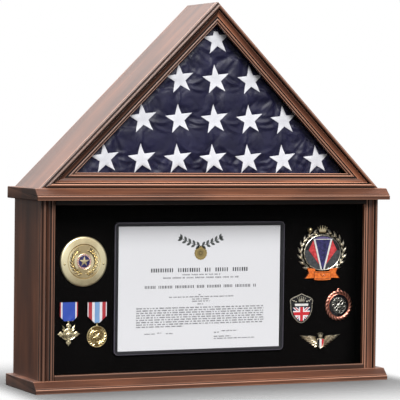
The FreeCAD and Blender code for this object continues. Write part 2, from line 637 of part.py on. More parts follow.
# Medals
MEDALS = ("left", "right")
bars = []
for medal in MEDALS:
    across, high = f"{medal}_medal_x", f"{medal}_medal_top"
    foot, foot_half = f"{medal}_medal_foot", f"{medal}_foot_width / 2"
    wide = f"{medal}_ribbon_width"
    keep(f"{medal}_medal_brooch", box(f"{medal}_brooch_bar", (
        f"{across} - {wide} / 2 + play", RIBBON_BACK, f"{high} - brooch_height - play"),
        (f"{wide} - 2 * play", "brooch", "brooch_height")))
    length = f"({high} - {foot})"
    ribbon = plate(f"{medal}_ribbon_sheet", mirrored([
        ("notch_width / 2", "notch_height"), ("notch_width / 2", "0"), (foot_half, "0"),
        (f"{wide} / 2", f"{length} - ribbon_straight"), (f"{wide} / 2", length),
    ]), across, foot, "ribbon", RIBBON_BACK)
    bar = cylinder(f"{medal}_bar", (f"{across} - {foot_half}", PENDANT_MIDDLE, foot), (1, 0, 0),
                   "bar_radius", f"{medal}_foot_width")
    bars.append(bar)
    keep(f"{medal}_medal_ribbon", cut(f"{medal}_ribbon_hemmed", ribbon, bar))
    ring = doc.addObject("Part::Torus", f"{medal}_ring")
    ring.setExpression("Radius1", dims("ring_radius"))
    ring.setExpression("Radius2", dims("ring_wire"))
    place(ring, across, PENDANT_MIDDLE, f"{foot} - bar_rise", Rotation(Vector(0, 0, 1), Vector(1, 0, 0)))
    keep(f"{medal}_medal_ring", ring)
keep("ribbon_bars", group("bar_group", bars))

eye_drop = "(bar_rise + ring_radius)"
pendant_back = f"{PENDANT_MIDDLE} + pendant / 2"


def pierced_pendant(medal, solid):
    """A pendant with the eye that its ring goes through."""
    eye = cylinder(f"{medal}_eye", (f"{medal}_medal_x", f"{pendant_back} + play",
                                    f"{medal}_medal_foot - {eye_drop}"), (0, -1, 0),
                   "eye_hole", "pendant + 2 * play")
    return cut(f"{medal}_pendant", solid, eye)


# Left pendant: a cross with flared, pointed ends and a ray between each two arms
eye_top = f"({eye_drop} - eye_hole - eye_wall)"
cross_reach = "(cross_size / 2)"
cross_arm_outline = mirrored([
    ("cross_arm", "0"), ("cross_arm", f"{cross_reach} - cross_flare"),
    ("cross_flare", f"{cross_reach} - cross_flare / 2"), ("cross_arm / 2", cross_reach)])
cross_ray_outline = mirrored([
    ("cross_arm", "0"), ("cross_arm / 2", "cross_wing - cross_arm"), ("0", "cross_wing")])
cross_parts = []
for number in range(CROSS_SPOKES):
    points = cross_arm_outline if number % 2 == 0 else cross_ray_outline
    spoke = plate(f"cross_spoke_{number}", points, 0, 0, "pendant")
    place(spoke, "left_medal_x", pendant_back, f"left_medal_foot - {eye_top} - {cross_reach}",
          Rotation(Vector(0, 1, 0), number * 360 / CROSS_SPOKES))
    cross_parts.append(spoke)
keep("left_medal_cross", pierced_pendant("left", fuse("cross_blank", cross_parts)))

# Right pendant: a rimmed disc hung by a lug
disc_drop = "(disc_diameter / 2 + lug_rise)"
disc_z = f"right_medal_foot - {eye_top} - {disc_drop}"
disc_edge = "disc_diameter / 2"
disc = turned("disc_blank", [
    ("0", "0"), (disc_edge, "0"), (disc_edge, "pendant"), ("disc_field", "pendant"),
    ("disc_field - disc_rim / 2", "pendant / 2 + play / 2"), ("0", "pendant / 2 + play / 2"),
], "right_medal_x", pendant_back, disc_z)
lug = box("disc_lug_bar", (
    "right_medal_x - disc_lug / 2", f"{pendant_back} - pendant", f"{disc_z} + disc_field"),
    ("disc_lug", "pendant", f"{disc_drop} - disc_field"))
keep("right_medal_disc", pierced_pendant("right", fuse("disc_and_lug", [disc, lug])))


def extruded(points, thickness, y):
    """A straight-sided solid from its outline, across and up, standing forward from a plane."""
    corners = [Vector(x, y, z) for x, z in points]
    face = Part.Face(Part.makePolygon(corners + corners[:1]))
    return face.extrude(Vector(0, -thickness, 0))


def leaf(across, up, angle, y):
    """A laurel leaf: two arcs that meet in a point at each end."""
    way = Vector(math.cos(angle), 0, math.sin(angle))
    side = Vector(-math.sin(angle), 0, math.cos(angle)) * (mm("leaf_width") / 2)
    root = Vector(across, y, up)
    tip = root + way * mm("leaf_length")
    middle = (root + tip) / 2
    sides = [Part.Arc(root, middle + side, tip), Part.Arc(tip, middle - side, root)]
    edge = Part.Wire([arc.toShape() for arc in sides])
    return Part.Face(edge).extrude(Vector(0, -mm("wreath_thickness"), 0))


def oval(half_width, half_height, y, thickness):
    """An upright oval plate about the wreath's centre."""
    wide = max(half_width, half_height)
    edge = Part.Ellipse(Vector(), wide, min(half_width, half_height)).toShape()
    face = Part.Face(Part.Wire([edge]))
    solid = face.extrude(Vector(0, 0, thickness))
    solid.rotate(Vector(), Vector(1, 0, 0), 90)
    solid.translate(Vector(mm("wreath_x"), y, mm("wreath_z")))
    return solid


# Wreath badge: an oval band with two branches of leaves, and a crown above. The crown's points are
# given in halves of its width and in its height.
CROWN = [(-0.6, 0), (0.6, 0), (1, 0.75), (0.5, 0.5), (0, 1), (-0.5, 0.5), (-1, 0.75)]
felt_y = mm(FELT_FRONT)
band = mm("wreath_band") / 2
half_wide, half_high = mm("wreath_half_width"), mm("wreath_half_height")
wreath = oval(half_wide + band, half_high + band, felt_y, mm("wreath_thickness"))
wreath = wreath.cut(oval(half_wide - band, half_high - band, felt_y, mm("wreath_thickness")))
leaves = []
for side in (-1, 1):
    for station in range(LEAF_STATIONS):
        turn = math.radians(LEAF_START + LEAF_STEP * station)
        across = mm("wreath_x") + side * half_wide * math.cos(turn)
        up = mm("wreath_z") + half_high * math.sin(turn)
        heading = math.atan2(half_high * math.cos(turn), -half_wide * math.sin(turn))
        for lean in (-LEAF_TILT, LEAF_TILT):
            angle = heading + math.radians(lean)
            leaves.append(leaf(across, up, angle if side > 0 else math.pi - angle, felt_y))
crown_low = mm("wreath_z + crown_base")
crown_half, crown_high = mm("crown_width / 2"), mm("crown_height")
crown = extruded([(mm("wreath_x") + across * crown_half, crown_low + up * crown_high)
                  for across, up in CROWN], mm("wreath_thickness"), felt_y)
badge_wreath = doc.addObject("Part::Feature", "wreath_solid")
wreath = wreath.multiFuse(leaves + [crown]).removeSplitter()
hollow = oval(mm("oval_width / 2 + play"), mm("oval_height / 2 + play"), felt_y, mm("wreath_thickness"))
badge_wreath.Shape = wreath.cut(hollow)
keep("badge_wreath", badge_wreath)

# Oval shield in the wreath, with a tapered stripe between two wedges
shield_oval = doc.addObject("Part::Feature", "oval_solid")
shield_oval.Shape = oval(mm("oval_width / 2"), mm("oval_height / 2"), felt_y, mm("oval_thickness"))
keep("badge_oval", shield_oval)
oval_face = f"{FELT_FRONT} - oval_thickness"
stripe = plate("badge_stripe", [
    ("-stripe_foot", "-stripe_top"), ("stripe_foot", "-stripe_top"),
    ("stripe_half_width", "stripe_top"), ("-stripe_half_width", "stripe_top")],
    "wreath_x", "wreath_z", "enamel", oval_face)
wedges = [plate(f"badge_wedge_{name}", [
    (f"{side} * (stripe_foot + 2 * play)", "-stripe_top + play"),
    (f"{side} * wedge_half_width", "wedge_level"),
    (f"{side} * (stripe_half_width + 2 * play)", "stripe_top")],
    "wreath_x", "wreath_z", "enamel", oval_face) for name, side in (("left", -1), ("right", 1))]
keep("badge_enamel", group("enamel_group", [stripe] + wedges))

# Banner across the foot of the wreath: a middle panel, with a swallow tail set higher at each end
keep("badge_banner", plate("banner_sheet", mirrored([
    ("banner_middle / 2", "-banner_height / 2"),
    ("banner_middle / 2", "-banner_height / 2 + banner_drop"),
    ("banner_width / 2", "-banner_height / 2 + banner_drop"),
    ("banner_width / 2 - banner_drop", "banner_drop"),
    ("banner_width / 2", "banner_height / 2 + banner_drop"),
    ("banner_middle / 2", "banner_height / 2 + banner_drop"),
    ("banner_middle / 2", "banner_height / 2"),
]), "wreath_x", "banner_z", "banner_thickness", f"{FELT_FRONT} - wreath_thickness"))


def shield_half(inset):
    """Half the shield's width and height, set in from its edge."""
    return f"(shield_width / 2 - ({inset}))", f"(shield_height / 2 - ({inset}))"


def shield_outline(inset):
    """The shield from its pointed foot round to its peaked top and back."""
    wide, high = shield_half(inset)
    waist, hip = f"shield_waist * {wide}", f"shield_hip * {high}"
    neck, shoulder = f"shield_neck * {high}", f"shield_shoulder * {high}"
    return [
        ("0", f"-{high}", "shield_height"), (waist, hip), (waist, neck), (wide, shoulder), ("0", high),
        (f"-{wide}", shoulder), (f"-{waist}", neck), (f"-{waist}", hip, "shield_height"),
    ]


# Shield pin: a plate with a raised rim, and the lower field let into it
shield = plate("shield_plate", shield_outline("0"), "shield_x", "shield_z", "shield_thickness")
well = shield.newObject("PartDesign::Pocket", "shield_well")
well.Profile = outline(shield, "XZ_Plane", shield_outline("shield_rim / 2"), "shield_thickness")
well.setExpression("Length", dims("enamel"))
keep("shield_pin", shield)
wide, high = shield_half("shield_rim")
field_half, field_top, field_hip = f"field_share * {wide}", f"field_top * {high}", f"shield_hip * {high}"
keep("shield_enamel", plate("shield_field", [
    ("0", f"-{high}", "shield_height"), (field_half, field_hip), (field_half, field_top),
    (f"-{field_half}", field_top), (f"-{field_half}", field_hip, "shield_height")],
    "shield_x", "shield_z", "enamel", f"{FELT_FRONT} - shield_thickness + enamel"))

# Rosette pin: a scalloped disc with a sunk middle, a small loop and a domed centre
scallop_points = []
for step in range(SCALLOPS):
    turn = f"({step * 360 / SCALLOPS} deg)"
    scallop_points.append((f"rosette_radius * cos{turn}", f"rosette_radius * sin{turn}", "scallop_radius"))
rosette_disc = plate("rosette_disc", scallop_points, "rosette_x", "rosette_z", "rosette_thickness")
loop_z = "rosette_z + rosette_radius + rosette_loop_hole"
rosette_front = f"{FELT_FRONT} - rosette_thickness"
rosette_loop = cylinder("rosette_eye", ("rosette_x", FELT_FRONT, loop_z), (0, -1, 0),
                        "rosette_loop", "rosette_thickness / 2")
rosette_eye = cylinder("rosette_eye_hole", ("rosette_x", f"{FELT_FRONT} + play", loop_z), (0, -1, 0),
                       "rosette_loop_hole", "rosette_thickness + play")
rosette_well = cylinder("rosette_sink", ("rosette_x", f"{rosette_front} - play", "rosette_z"), (0, 1, 0),
                        "rosette_well", "rosette_well_depth + play")
keep("rosette_pin", cut("rosette_cut", fuse("rosette_blank", [rosette_disc, rosette_loop]),
                        group("rosette_holes", [rosette_well, rosette_eye])))
keep("rosette_centre", turned("rosette_boss", [
    ("0", "0"), ("rosette_dome", "0"), ("rosette_dome", "rosette_well_depth / 2"),
    ("rosette_dome * rosette_shoulder", "rosette_well_depth"), ("0", "rosette_well_depth + enamel")],
    "rosette_x", f"{rosette_front} + rosette_well_depth", "rosette_z"))

# Wings pin: two stepped wings under a crown, with a small striped crest. Each point is given in
# halves of the pin's width and height.
WING = [
    (0, -1), (0.2, -0.89), (0.44, -0.64), (0.5, -0.46), (0.7, -0.26), (0.74, -0.06), (0.9, 0.23), (1, 0.6),
    (0.6, 0.53), (0.3, 0.47), (0.2, 0.19), (0.11, 0.19), (0.15, 0.74), (0.065, 0.61), (0, 1),
]
keep("wings_pin", plate("wings_plate", mirrored([
    (f"{across} * wings_width / 2", f"{up} * wings_height / 2") for across, up in WING]),
    "wings_x", "wings_z", "wings_thickness"))
keep("wings_shield", plate("wings_crest", [
    ("0", "-crest_height / 2", "crest_height"), ("crest_width / 2", "-crest_height / 8"),
    ("crest_width / 2", "crest_height / 4"), ("-crest_width / 2", "crest_height / 4"),
    ("-crest_width / 2", "-crest_height / 8", "crest_height")],
    "wings_x", "wings_z - crest_drop", "crest", f"{FELT_FRONT} - wings_thickness"))

# Write each sub-part once every object has come out sound
doc.recompute()
for obj in doc.Objects:
    if "Invalid" in obj.State or "Error" in obj.State:
        raise RuntimeError(f"{obj.Name} failed: {obj.State}")
for piece in pieces:
    if piece.Shape.isNull() or not piece.Shape.isValid():
        raise RuntimeError(f"{piece.Label} has no sound shape")
os.makedirs("parts", exist_ok=True)
for piece in pieces:
    piece.Shape.exportStep(f"parts/{piece.Label}.step")
    bounds = piece.Shape.BoundBox
    print(f"{piece.Label}: {len(piece.Shape.Solids)} solids, {piece.Shape.Volume / 1000:.2f} cm3, "
          f"x {bounds.XMin:.1f} {bounds.XMax:.1f}, y {bounds.YMin:.1f} {bounds.YMax:.1f}, "
          f"z {bounds.ZMin:.1f} {bounds.ZMax:.1f}")
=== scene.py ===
import json
import math
import random

import bmesh
import bpy
from mathutils import Matrix, Vector, noise
from mathutils.bvhtree import BVHTree
from mathutils.geometry import intersect_line_line_2d


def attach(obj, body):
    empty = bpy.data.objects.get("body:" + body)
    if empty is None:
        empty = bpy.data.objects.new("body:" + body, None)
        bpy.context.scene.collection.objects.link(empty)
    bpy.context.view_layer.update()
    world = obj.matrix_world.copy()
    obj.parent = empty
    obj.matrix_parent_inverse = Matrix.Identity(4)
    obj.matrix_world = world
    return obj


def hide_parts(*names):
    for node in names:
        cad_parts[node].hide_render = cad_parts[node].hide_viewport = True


# Looks of the folded flag display case: walnut, glass, the flag with its stars, the certificate,
# the medals and the badges. Sizes are in millimetres until a piece is made.
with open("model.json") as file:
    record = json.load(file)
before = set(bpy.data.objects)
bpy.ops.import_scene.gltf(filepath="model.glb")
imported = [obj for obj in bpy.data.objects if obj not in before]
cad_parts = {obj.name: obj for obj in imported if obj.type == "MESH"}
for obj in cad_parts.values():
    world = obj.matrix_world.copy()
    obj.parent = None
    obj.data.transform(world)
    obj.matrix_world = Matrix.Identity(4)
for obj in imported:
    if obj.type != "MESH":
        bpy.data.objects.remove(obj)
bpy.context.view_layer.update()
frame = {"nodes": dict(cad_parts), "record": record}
MM = 0.001
SLOT_OF = {part["node"]: part["material_slot"] for part in frame["record"]["subparts"]}
dice = random.Random(4)


class Wire:
    """An output among a material's nodes. Sums on it add the nodes that work them out."""

    def __init__(self, tree, socket=None):
        self.tree = tree
        self.socket = socket

    def node(self, kind, settings=None, inputs=None, out=0):
        """Any node: its settings, then the values or wires of its inputs, and the output wanted."""
        made = self.tree.nodes.new(kind)
        for name, value in (settings or {}).items():
            if name == "stops":
                stops = made.color_ramp.elements
                stops.remove(stops[1])
                for number, (where, colour) in enumerate(value):
                    stop = stops.new(where) if number else stops[0]
                    stop.position = where
                    stop.color = (*colour, 1)
            else:
                setattr(made, name, value)
        for name, value in (inputs or {}).items():
            if isinstance(value, Wire):
                self.tree.links.new(value.socket, made.inputs[name])
            elif made.inputs[name].type == "RGBA":
                made.inputs[name].default_value = (*value, 1)
            else:
                made.inputs[name].default_value = value
        return Wire(self.tree, made.outputs[out])

    def sum(self, operation, *values):
        """A Math node on wires or numbers."""
        return self.node("ShaderNodeMath", {"operation": operation}, dict(enumerate(values)))

    def __add__(self, other):
        return self.sum("ADD", self, other)

    def __radd__(self, other):
        return self.sum("ADD", other, self)

    def __sub__(self, other):
        return self.sum("SUBTRACT", self, other)

    def __rsub__(self, other):
        return self.sum("SUBTRACT", other, self)

    def __mul__(self, other):
        return self.sum("MULTIPLY", self, other)

    def __rmul__(self, other):
        return self.sum("MULTIPLY", other, self)

    def __truediv__(self, other):
        return self.sum("DIVIDE", self, other)

    def __rtruediv__(self, other):
        return self.sum("DIVIDE", other, self)

    def __pow__(self, other):
        return self.sum("POWER", self, other)

    def __gt__(self, other):
        return self.sum("GREATER_THAN", self, other)

    def __lt__(self, other):
        return self.sum("LESS_THAN", self, other)

    def __abs__(self):
        return self.sum("ABSOLUTE", self)

    def wave(self):
        """The value's sine."""
        return self.sum("SINE", self)

    def at_least(self, low):
        """The value, or the other one where that is more."""
        return self.sum("MAXIMUM", self, low)

    def fade(self, low, high):
        """0 below low, 1 above high, and a smooth rise between them."""
        return self.node("ShaderNodeMapRange", {"interpolation_type": "SMOOTHSTEP"},
                         {"Value": self, "From Min": low, "From Max": high})

    def between(self, first, second):
        """A colour from the first at 0 to the second at 1."""
        return self.node("ShaderNodeMix", {"data_type": "RGBA"}, {0: self, 6: first, 7: second}, 2)

    def ramp(self, *stops):
        """A colour through several stops."""
        return self.node("ShaderNodeValToRGB", {"stops": stops}, {0: self})

    def stretched(self, x, y, z):
        """A vector with each of its sides scaled."""
        return self.node("ShaderNodeVectorMath", {"operation": "MULTIPLY"}, {0: self, 1: (x, y, z)})

    def split(self):
        """The three numbers of a vector."""
        return [self.node("ShaderNodeSeparateXYZ", None, {0: self}, axis) for axis in range(3)]

    def noise(self, scale=1, detail=2, rough=0.5):
        """Soft noise over a vector, about 0 to 1."""
        return self.node("ShaderNodeTexNoise", None,
                         {"Vector": self, "Scale": scale, "Detail": detail, "Roughness": rough})

    def bump(self, strength, depth):
        """The surface's direction, dented by a height."""
        return self.node("ShaderNodeBump", None, {"Strength": strength, "Distance": depth, "Height": self})


def tone(red, green, blue):
    """A colour as a picture gives it, 0 to 255, in the linear numbers that shaders take."""
    return tuple(((part / 255 + 0.055) / 1.055) ** 2.4 if part > 10 else part / 3294
                 for part in (red, green, blue))


def surface(name, recipe):
    """A material from a recipe, which gives the inputs of its shader."""
    made = bpy.data.materials.new(name)
    made.use_nodes = True
    tree = made.node_tree
    tree.nodes.clear()
    start = Wire(tree)
    shader = start.node("ShaderNodeBsdfPrincipled", None, recipe(start))
    tree.links.new(shader.socket, tree.nodes.new("ShaderNodeOutputMaterial").inputs["Surface"])
    return made


def spot(start):
    """Where a point lies on its own piece, in metres."""
    return start.node("ShaderNodeTexCoord", out="Object")


def mark(start, name, out="Fac"):
    """A value that a piece's mesh carries on its points."""
    return start.node("ShaderNodeAttribute", {"attribute_name": name}, out=out)


def walnut(start, gloss=0.3, matt=0):
    """Stained walnut under satin lacquer: streaks along the grain, grooves painted dark as shade with some
    pooled stain, crests painted paler as highlight with some rubbed wear.
    """
    grain = mark(start, "grain", "Vector")
    worn = mark(start, "worn")
    figure = grain.stretched(3.4, 28, 28).noise(1, 3, 0.55)
    streaks = grain.stretched(6, 190, 190).noise(1, 4, 0.6)
    pores = grain.stretched(60, 2300, 2300).noise(1, 2, 0.5)
    blend = figure * 0.55 + streaks * 0.45 + worn * 0.12
    stain = blend.ramp((0.3, tone(52, 27, 17)), (0.46, tone(73, 41, 26)), (0.58, tone(94, 56, 37)),
                       (0.72, tone(115, 72, 49)))
    patina = grain.stretched(6, 14, 14).noise(1, 2, 0.5).fade(0.36, 0.62)
    pored = (pores.fade(0.56, 0.7) * 0.4 + (1 - patina) * 0.38).between(stain, tone(34, 17, 11))
    # Grooves, where nearby edges of the outline shut a point in, are painted nearly black: painted shade,
    # with some stain pooled in them.
    groove = (0 - worn).fade(0.3, 0.85)
    pooled_stain_and_painted_shade = (groove * 0.96).between(pored, tone(10, 4, 2))
    # Crests are painted paler, most where the surface faces up: a painted highlight, with some rubbed wear on
    # the edges.
    upward_highlight_mask = start.node("ShaderNodeNewGeometry", out="Normal").split()[2].fade(-0.1, 0.7)
    rubbed_and_painted_highlight = (worn.fade(0.2, 0.9) * (0.25 + upward_highlight_mask * 0.5)).between(pooled_stain_and_painted_shade, tone(190, 142, 118))
    return {
        # The stain mark scales the colour; on the mouldings, stiles and rails it also paints light and shade.
        "Base Color": rubbed_and_painted_highlight.node("ShaderNodeVectorMath", {"operation": "SCALE"},
                                  {0: rubbed_and_painted_highlight, "Scale": mark(start, "stain")}),
        "Roughness": 0.32 + matt + streaks * 0.14 + pores * 0.06 + groove * 0.4,
        "Specular IOR Level": 0.45 - matt,
        "Coat Weight": gloss - groove * gloss,
        "Coat Roughness": 0.2,
        "Normal": (streaks * 0.5 + pores * 0.5).bump(0.12, 0.0004),
    }


def dark_wood(start):
    """Dark stained stops."""
    streaks = spot(start).stretched(30, 220, 30).noise(1, 4)
    return {"Base Color": streaks.between(tone(26, 16, 12), tone(58, 38, 29)), "Roughness": 0.6,
            "Normal": streaks.bump(0.2, 0.0004)}


def panel_board(start):
    """Brown-faced fibreboard with a fine mottle."""
    place = spot(start)
    mottle = place.noise(90, 5, 0.7)
    fibres = place.stretched(500, 500, 2600).noise(1, 3)
    colour = (mottle * 0.6 + fibres * 0.4).ramp(
        (0.3, tone(78, 56, 42)), (0.5, tone(106, 80, 61)), (0.7, tone(128, 99, 77)))
    return {"Base Color": colour, "Roughness": 0.62 + mottle * 0.2, "Normal": fibres.bump(0.15, 0.0003)}


def clear(name, smear):
    """A clear sheet: nearly nothing face on, more of a sheen at a low angle."""
    def recipe(start):
        rim = start.node("ShaderNodeLayerWeight", None, {"Blend": 0.18}, "Fresnel")
        smears = spot(start).noise(9, 4, 0.6)
        return {"Base Color": (0.03, 0.035, 0.034), "Roughness": 0.02 + smears * smear,
                "Alpha": 0.008 + rim * 0.16, "IOR": 1.5}
    return surface(name, recipe)


def black_felt(start):
    """Short-napped black felt."""
    place = spot(start)
    nap = place.noise(2600, 3, 0.7)
    drift = place.noise(26, 3)
    return {"Base Color": (nap * 0.6 + drift * 0.4).between(tone(3, 2, 2), tone(12, 10, 10)),
            "Roughness": 0.95, "Specular IOR Level": 0.04,
            "Normal": nap.bump(0.5, 0.0006)}


def navy_cloth(start):
    """Plain-woven nylon in navy, with a soft sheen along its folds."""
    place = spot(start)
    warp, _, weft = [(way * 5200).wave() for way in place.split()]
    slub = place.stretched(240, 240, 1600).noise(1, 3)
    cloud = place.noise(34, 3)
    shade = (slub * 0.35 + cloud * 0.65).fade(0.3, 0.7)
    return {"Base Color": shade.between(tone(19, 18, 42), tone(32, 31, 60)),
            "Roughness": 0.42 + slub * 0.1, "Specular IOR Level": 0.32,
            "Normal": (warp + weft + slub).bump(0.08, 0.0002)}


def white_thread(start):
    """Satin stitch: fine threads across each arm of a star."""
    along, across, ridge = mark(start, "stitch", "Vector").split()
    thread = (along * 3400 + abs(across) * 900).wave()
    uneven = spot(start).noise(420, 3)
    return {"Base Color": (uneven * 0.5 + ridge * 0.5).between(tone(190, 191, 199), tone(237, 237, 241)),
            "Roughness": 0.5, "Sheen Weight": 0.1,
            "Normal": (thread * 0.5 + uneven).bump(0.3, 0.0004)}


def navy_cover(start):
    """Padded leathercloth of the certificate's holder, its rounded rim painted pale as a highlight."""
    pebbles = start.node("ShaderNodeTexVoronoi", None, {"Vector": spot(start), "Scale": 900})
    # The rounded rim is painted pale grey-purple from the mark: a painted highlight along its edge.
    edge = mark(start, "worn")
    ground = pebbles.between(tone(12, 11, 16), tone(22, 21, 29))
    return {"Base Color": edge.fade(0.2, 0.9).between(ground, tone(84, 80, 92)),
            "Roughness": 0.42, "Normal": pebbles.bump(0.25, 0.0003)}


def paper(start):
    """White certificate paper."""
    fibre = spot(start).noise(700, 4, 0.7)
    cloud = spot(start).noise(12, 3)
    return {"Base Color": (fibre * 0.5 + cloud * 0.5).between(tone(219, 219, 222), tone(226, 226, 229)),
            "Roughness": 0.8, "Specular IOR Level": 0.2}


def metal(name, dark, light, rough, scale=60):
    """Antiqued metal: bright on its crests, dark in its hollows, with a fine brushed scatter."""
    def recipe(start):
        place = spot(start)
        worn = mark(start, "worn")
        tarnish = place.noise(scale, 4, 0.6)
        scuffs = place.stretched(2200, 2200, 500).noise(1, 2)
        shade = (tarnish * 0.5 + scuffs * 0.25 + worn * 0.55).fade(-0.05, 0.75)
        return {"Base Color": shade.between(tone(*dark), tone(*light)), "Metallic": 1.0,
                "Roughness": rough + tarnish * 0.16 - shade * 0.06,
                "Normal": scuffs.bump(0.08, 0.0002)}
    return surface(name, recipe)


def enamel(name, shade, deep):
    """Hard enamel: glossy colour with a slight swim in it."""
    def recipe(start):
        swim = spot(start).noise(260, 3)
        return {"Base Color": swim.fade(0.3, 0.7).between(tone(*deep), tone(*shade)),
                "Roughness": 0.14 + swim * 0.1, "Coat Weight": 0.4, "Normal": swim.bump(0.05, 0.0003)}
    return surface(name, recipe)


FINISHES = {recipe.__name__: surface(recipe.__name__, recipe) for recipe in (
    walnut, dark_wood, panel_board, black_felt, navy_cloth, white_thread, paper)}
FINISHES |= {
    "matt_walnut": surface("matt_walnut", lambda start: walnut(start, 0, 0.1)),
    "roof_walnut": surface("roof_walnut", lambda start: walnut(start, 0.5)),
    "board_walnut": surface("board_walnut", lambda start: walnut(start, 0, 0.08)),
    "side_walnut": surface("side_walnut", lambda start: walnut(start, 0.12)),
    "glass": clear("glass", 0.02),
    "clear_plastic": clear("clear_plastic", 0.05),
    "navy_plastic": surface("navy_cover", navy_cover),
    "brass": metal("antique_gold", (76, 58, 30), (222, 200, 148), 0.28, 160),
    "antique_silver": metal("antique_silver", (40, 34, 28), (238, 229, 208), 0.26, 160),
    "rose_gold": metal("rose_gold", (96, 48, 40), (232, 160, 138), 0.28),
    "steel": metal("steel", (110, 110, 114), (196, 196, 200), 0.34),
    "grey_enamel": enamel("grey_enamel", (74, 76, 78), (52, 54, 56)),
    "navy_enamel": enamel("navy_enamel", (56, 50, 108), (24, 24, 62)),
    "orange_enamel": enamel("orange_enamel", (240, 128, 48), (206, 92, 26)),
    "red_enamel": enamel("red_enamel", (206, 52, 52), (170, 30, 36)),
}


def around(reach, turn):
    """A point at a reach from the middle, at a turn in degrees."""
    return reach * math.cos(math.radians(turn)), reach * math.sin(math.radians(turn))


KEEN_EDGE = math.radians(38)


def piece(name, points, faces, slot, nodes=(), body="case", marks=None, finish=None):
    """A piece from points in millimetres, on a body, in place of the nodes that it stands for."""
    mesh = bpy.data.meshes.new(name)
    mesh.from_pydata([[part * MM for part in point] for point in points], [], faces)
    for mark_name, values in (marks or {}).items():
        vector = hasattr(values[0], "__len__")
        layer = mesh.attributes.new(mark_name, "FLOAT_VECTOR" if vector else "FLOAT", "POINT")
        flat = [part for value in values for part in value] if vector else values
        layer.data.foreach_set("vector" if vector else "value", flat)
    skin = bmesh.new()
    skin.from_mesh(mesh)
    bmesh.ops.recalc_face_normals(skin, faces=skin.faces)
    skin.to_mesh(mesh)
    skin.free()
    mesh.shade_smooth()
    mesh.set_sharp_from_angle(angle=KEEN_EDGE)
    obj = bpy.data.objects.new(name, mesh)
    bpy.context.scene.collection.objects.link(obj)
    mesh.materials.append(finish or FINISHES[slot])
    weighted = obj.modifiers.new("even_normals", "WEIGHTED_NORMAL")
    weighted.keep_sharp = True
    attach(obj, body)
    if nodes:
        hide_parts(*nodes)
    return obj


def skin_over(loops, closed_ends=True):
    """Points and faces of a skin over loops of points, with a flat face on each end."""
    count = len(loops[0])
    points = [point for loop in loops for point in loop]
    faces = []
    for row in range(len(loops) - 1):
        for step in range(count):
            after = (step + 1) % count
            faces.append((row * count + step, row * count + after,
                          (row + 1) * count + after, (row + 1) * count + step))
    if closed_ends:
        faces.append(tuple(range(count)))
        faces.append(tuple(range((len(loops) - 1) * count, len(loops) * count)))
    return points, faces


ARC_STEPS, EASE_STEPS, STRAIGHT = 8, 4, math.radians(150)
WEAR_REACH, GROOVE_REACH, GROOVE_LOOKS = 1.1, 5, range(-80, 81, 16)


def arc(start, end, radius):
    """Points between two ends of an arc that bulges to the right of the way along, or left if negative."""
    way = Vector((end[0] - start[0], end[1] - start[1]))
    half = way.length / 2
    side = Vector((way.y, -way.x)).normalized()
    middle = Vector(start[:2]) + way / 2
    centre = middle - side * math.copysign(math.sqrt(radius * radius - half * half), radius)
    first, last = Vector(start[:2]) - centre, Vector(end[:2]) - centre
    turn = first.angle_signed(last)
    points = []
    for step in range(1, ARC_STEPS):
        spun = first.copy()
        spun.rotate(Matrix.Rotation(-turn * step / ARC_STEPS, 2))
        points.append(tuple(centre + spun))
    return points


def eased(path, ease):
    """A closed path with its sharp corners rounded a little."""
    made = []
    for before, here, after in zip(path[-1:] + path[:-1], path, path[1:] + path[:1]):
        corner = Vector(here)
        back, on = Vector(before) - corner, Vector(after) - corner
        if back.angle(on) > STRAIGHT:
            made.append(here)
            continue
        first = corner + back.normalized() * min(ease, 0.4 * back.length)
        last = corner + on.normalized() * min(ease, 0.4 * on.length)
        for step in range(EASE_STEPS):
            share = step / (EASE_STEPS - 1)
            made.append(tuple(first * (1 - share) ** 2 + corner * 2 * share * (1 - share)
                              + last * share ** 2))
    return made


def one_way(path):
    """A closed path whose points run against the clock."""
    twice = sum(a[0] * b[1] - b[0] * a[1] for a, b in zip(path, path[1:] + path[:1]))
    return path if twice > 0 else path[::-1]


def drawn(corners, ease=0.6):
    """A closed outline from corners; a third number is the radius of the arc to the next one."""
    path = []
    for start, end in zip(corners, corners[1:] + corners[:1]):
        path.append(tuple(start[:2]))
        if len(start) == 3:
            path += arc(start, end, start[2])
    soft = eased(one_way(path), ease)
    made = []
    for here, after in zip(soft, soft[1:] + soft[:1]):
        made.append(here)
        run = (Vector(after) - Vector(here)).length
        if run > 2.5 * WEAR_REACH:
            share = 1.15 * WEAR_REACH / run
            made += [tuple(Vector(here).lerp(Vector(after), part)) for part in (share, 1 - share)]
    return made


def shut_in(here, facing, edges):
    """The share of the open side of a point that nearby edges of its own outline block."""
    blocked = 0
    for turn in GROOVE_LOOKS:
        ray = Matrix.Rotation(math.radians(turn), 2) @ facing * GROOVE_REACH
        start = here + ray * 0.02
        blocked += any(intersect_line_line_2d(start, here + ray, *edge) is not None for edge in edges)
    return blocked / len(GROOVE_LOOKS)


def crests(outline):
    """How far each point of an outline stands on a crest (towards 1) or in a groove (towards -1)."""
    count = len(outline)
    spots = [Vector(point) for point in outline]
    edges = [(spots[index - 1], spots[index]) for index in range(count)]
    turns, facings = [], []
    for index in range(count):
        back = spots[index] - spots[index - 1]
        on = spots[(index + 1) % count] - spots[index]
        turns.append(math.degrees(-back.angle_signed(on)) if back.length and on.length else 0)
        way = back.normalized() + on.normalized()
        facings.append(Vector((way.y, -way.x)).normalized())
    made = []
    for index in range(count):
        near = [turns[other] for other in range(count) if (spots[other] - spots[index]).length < WEAR_REACH]
        crest = max(0, min(1, sum(near) / 90))
        made.append(max(-1, crest - 1.5 * shut_in(spots[index], facings[index], edges)))
    return made


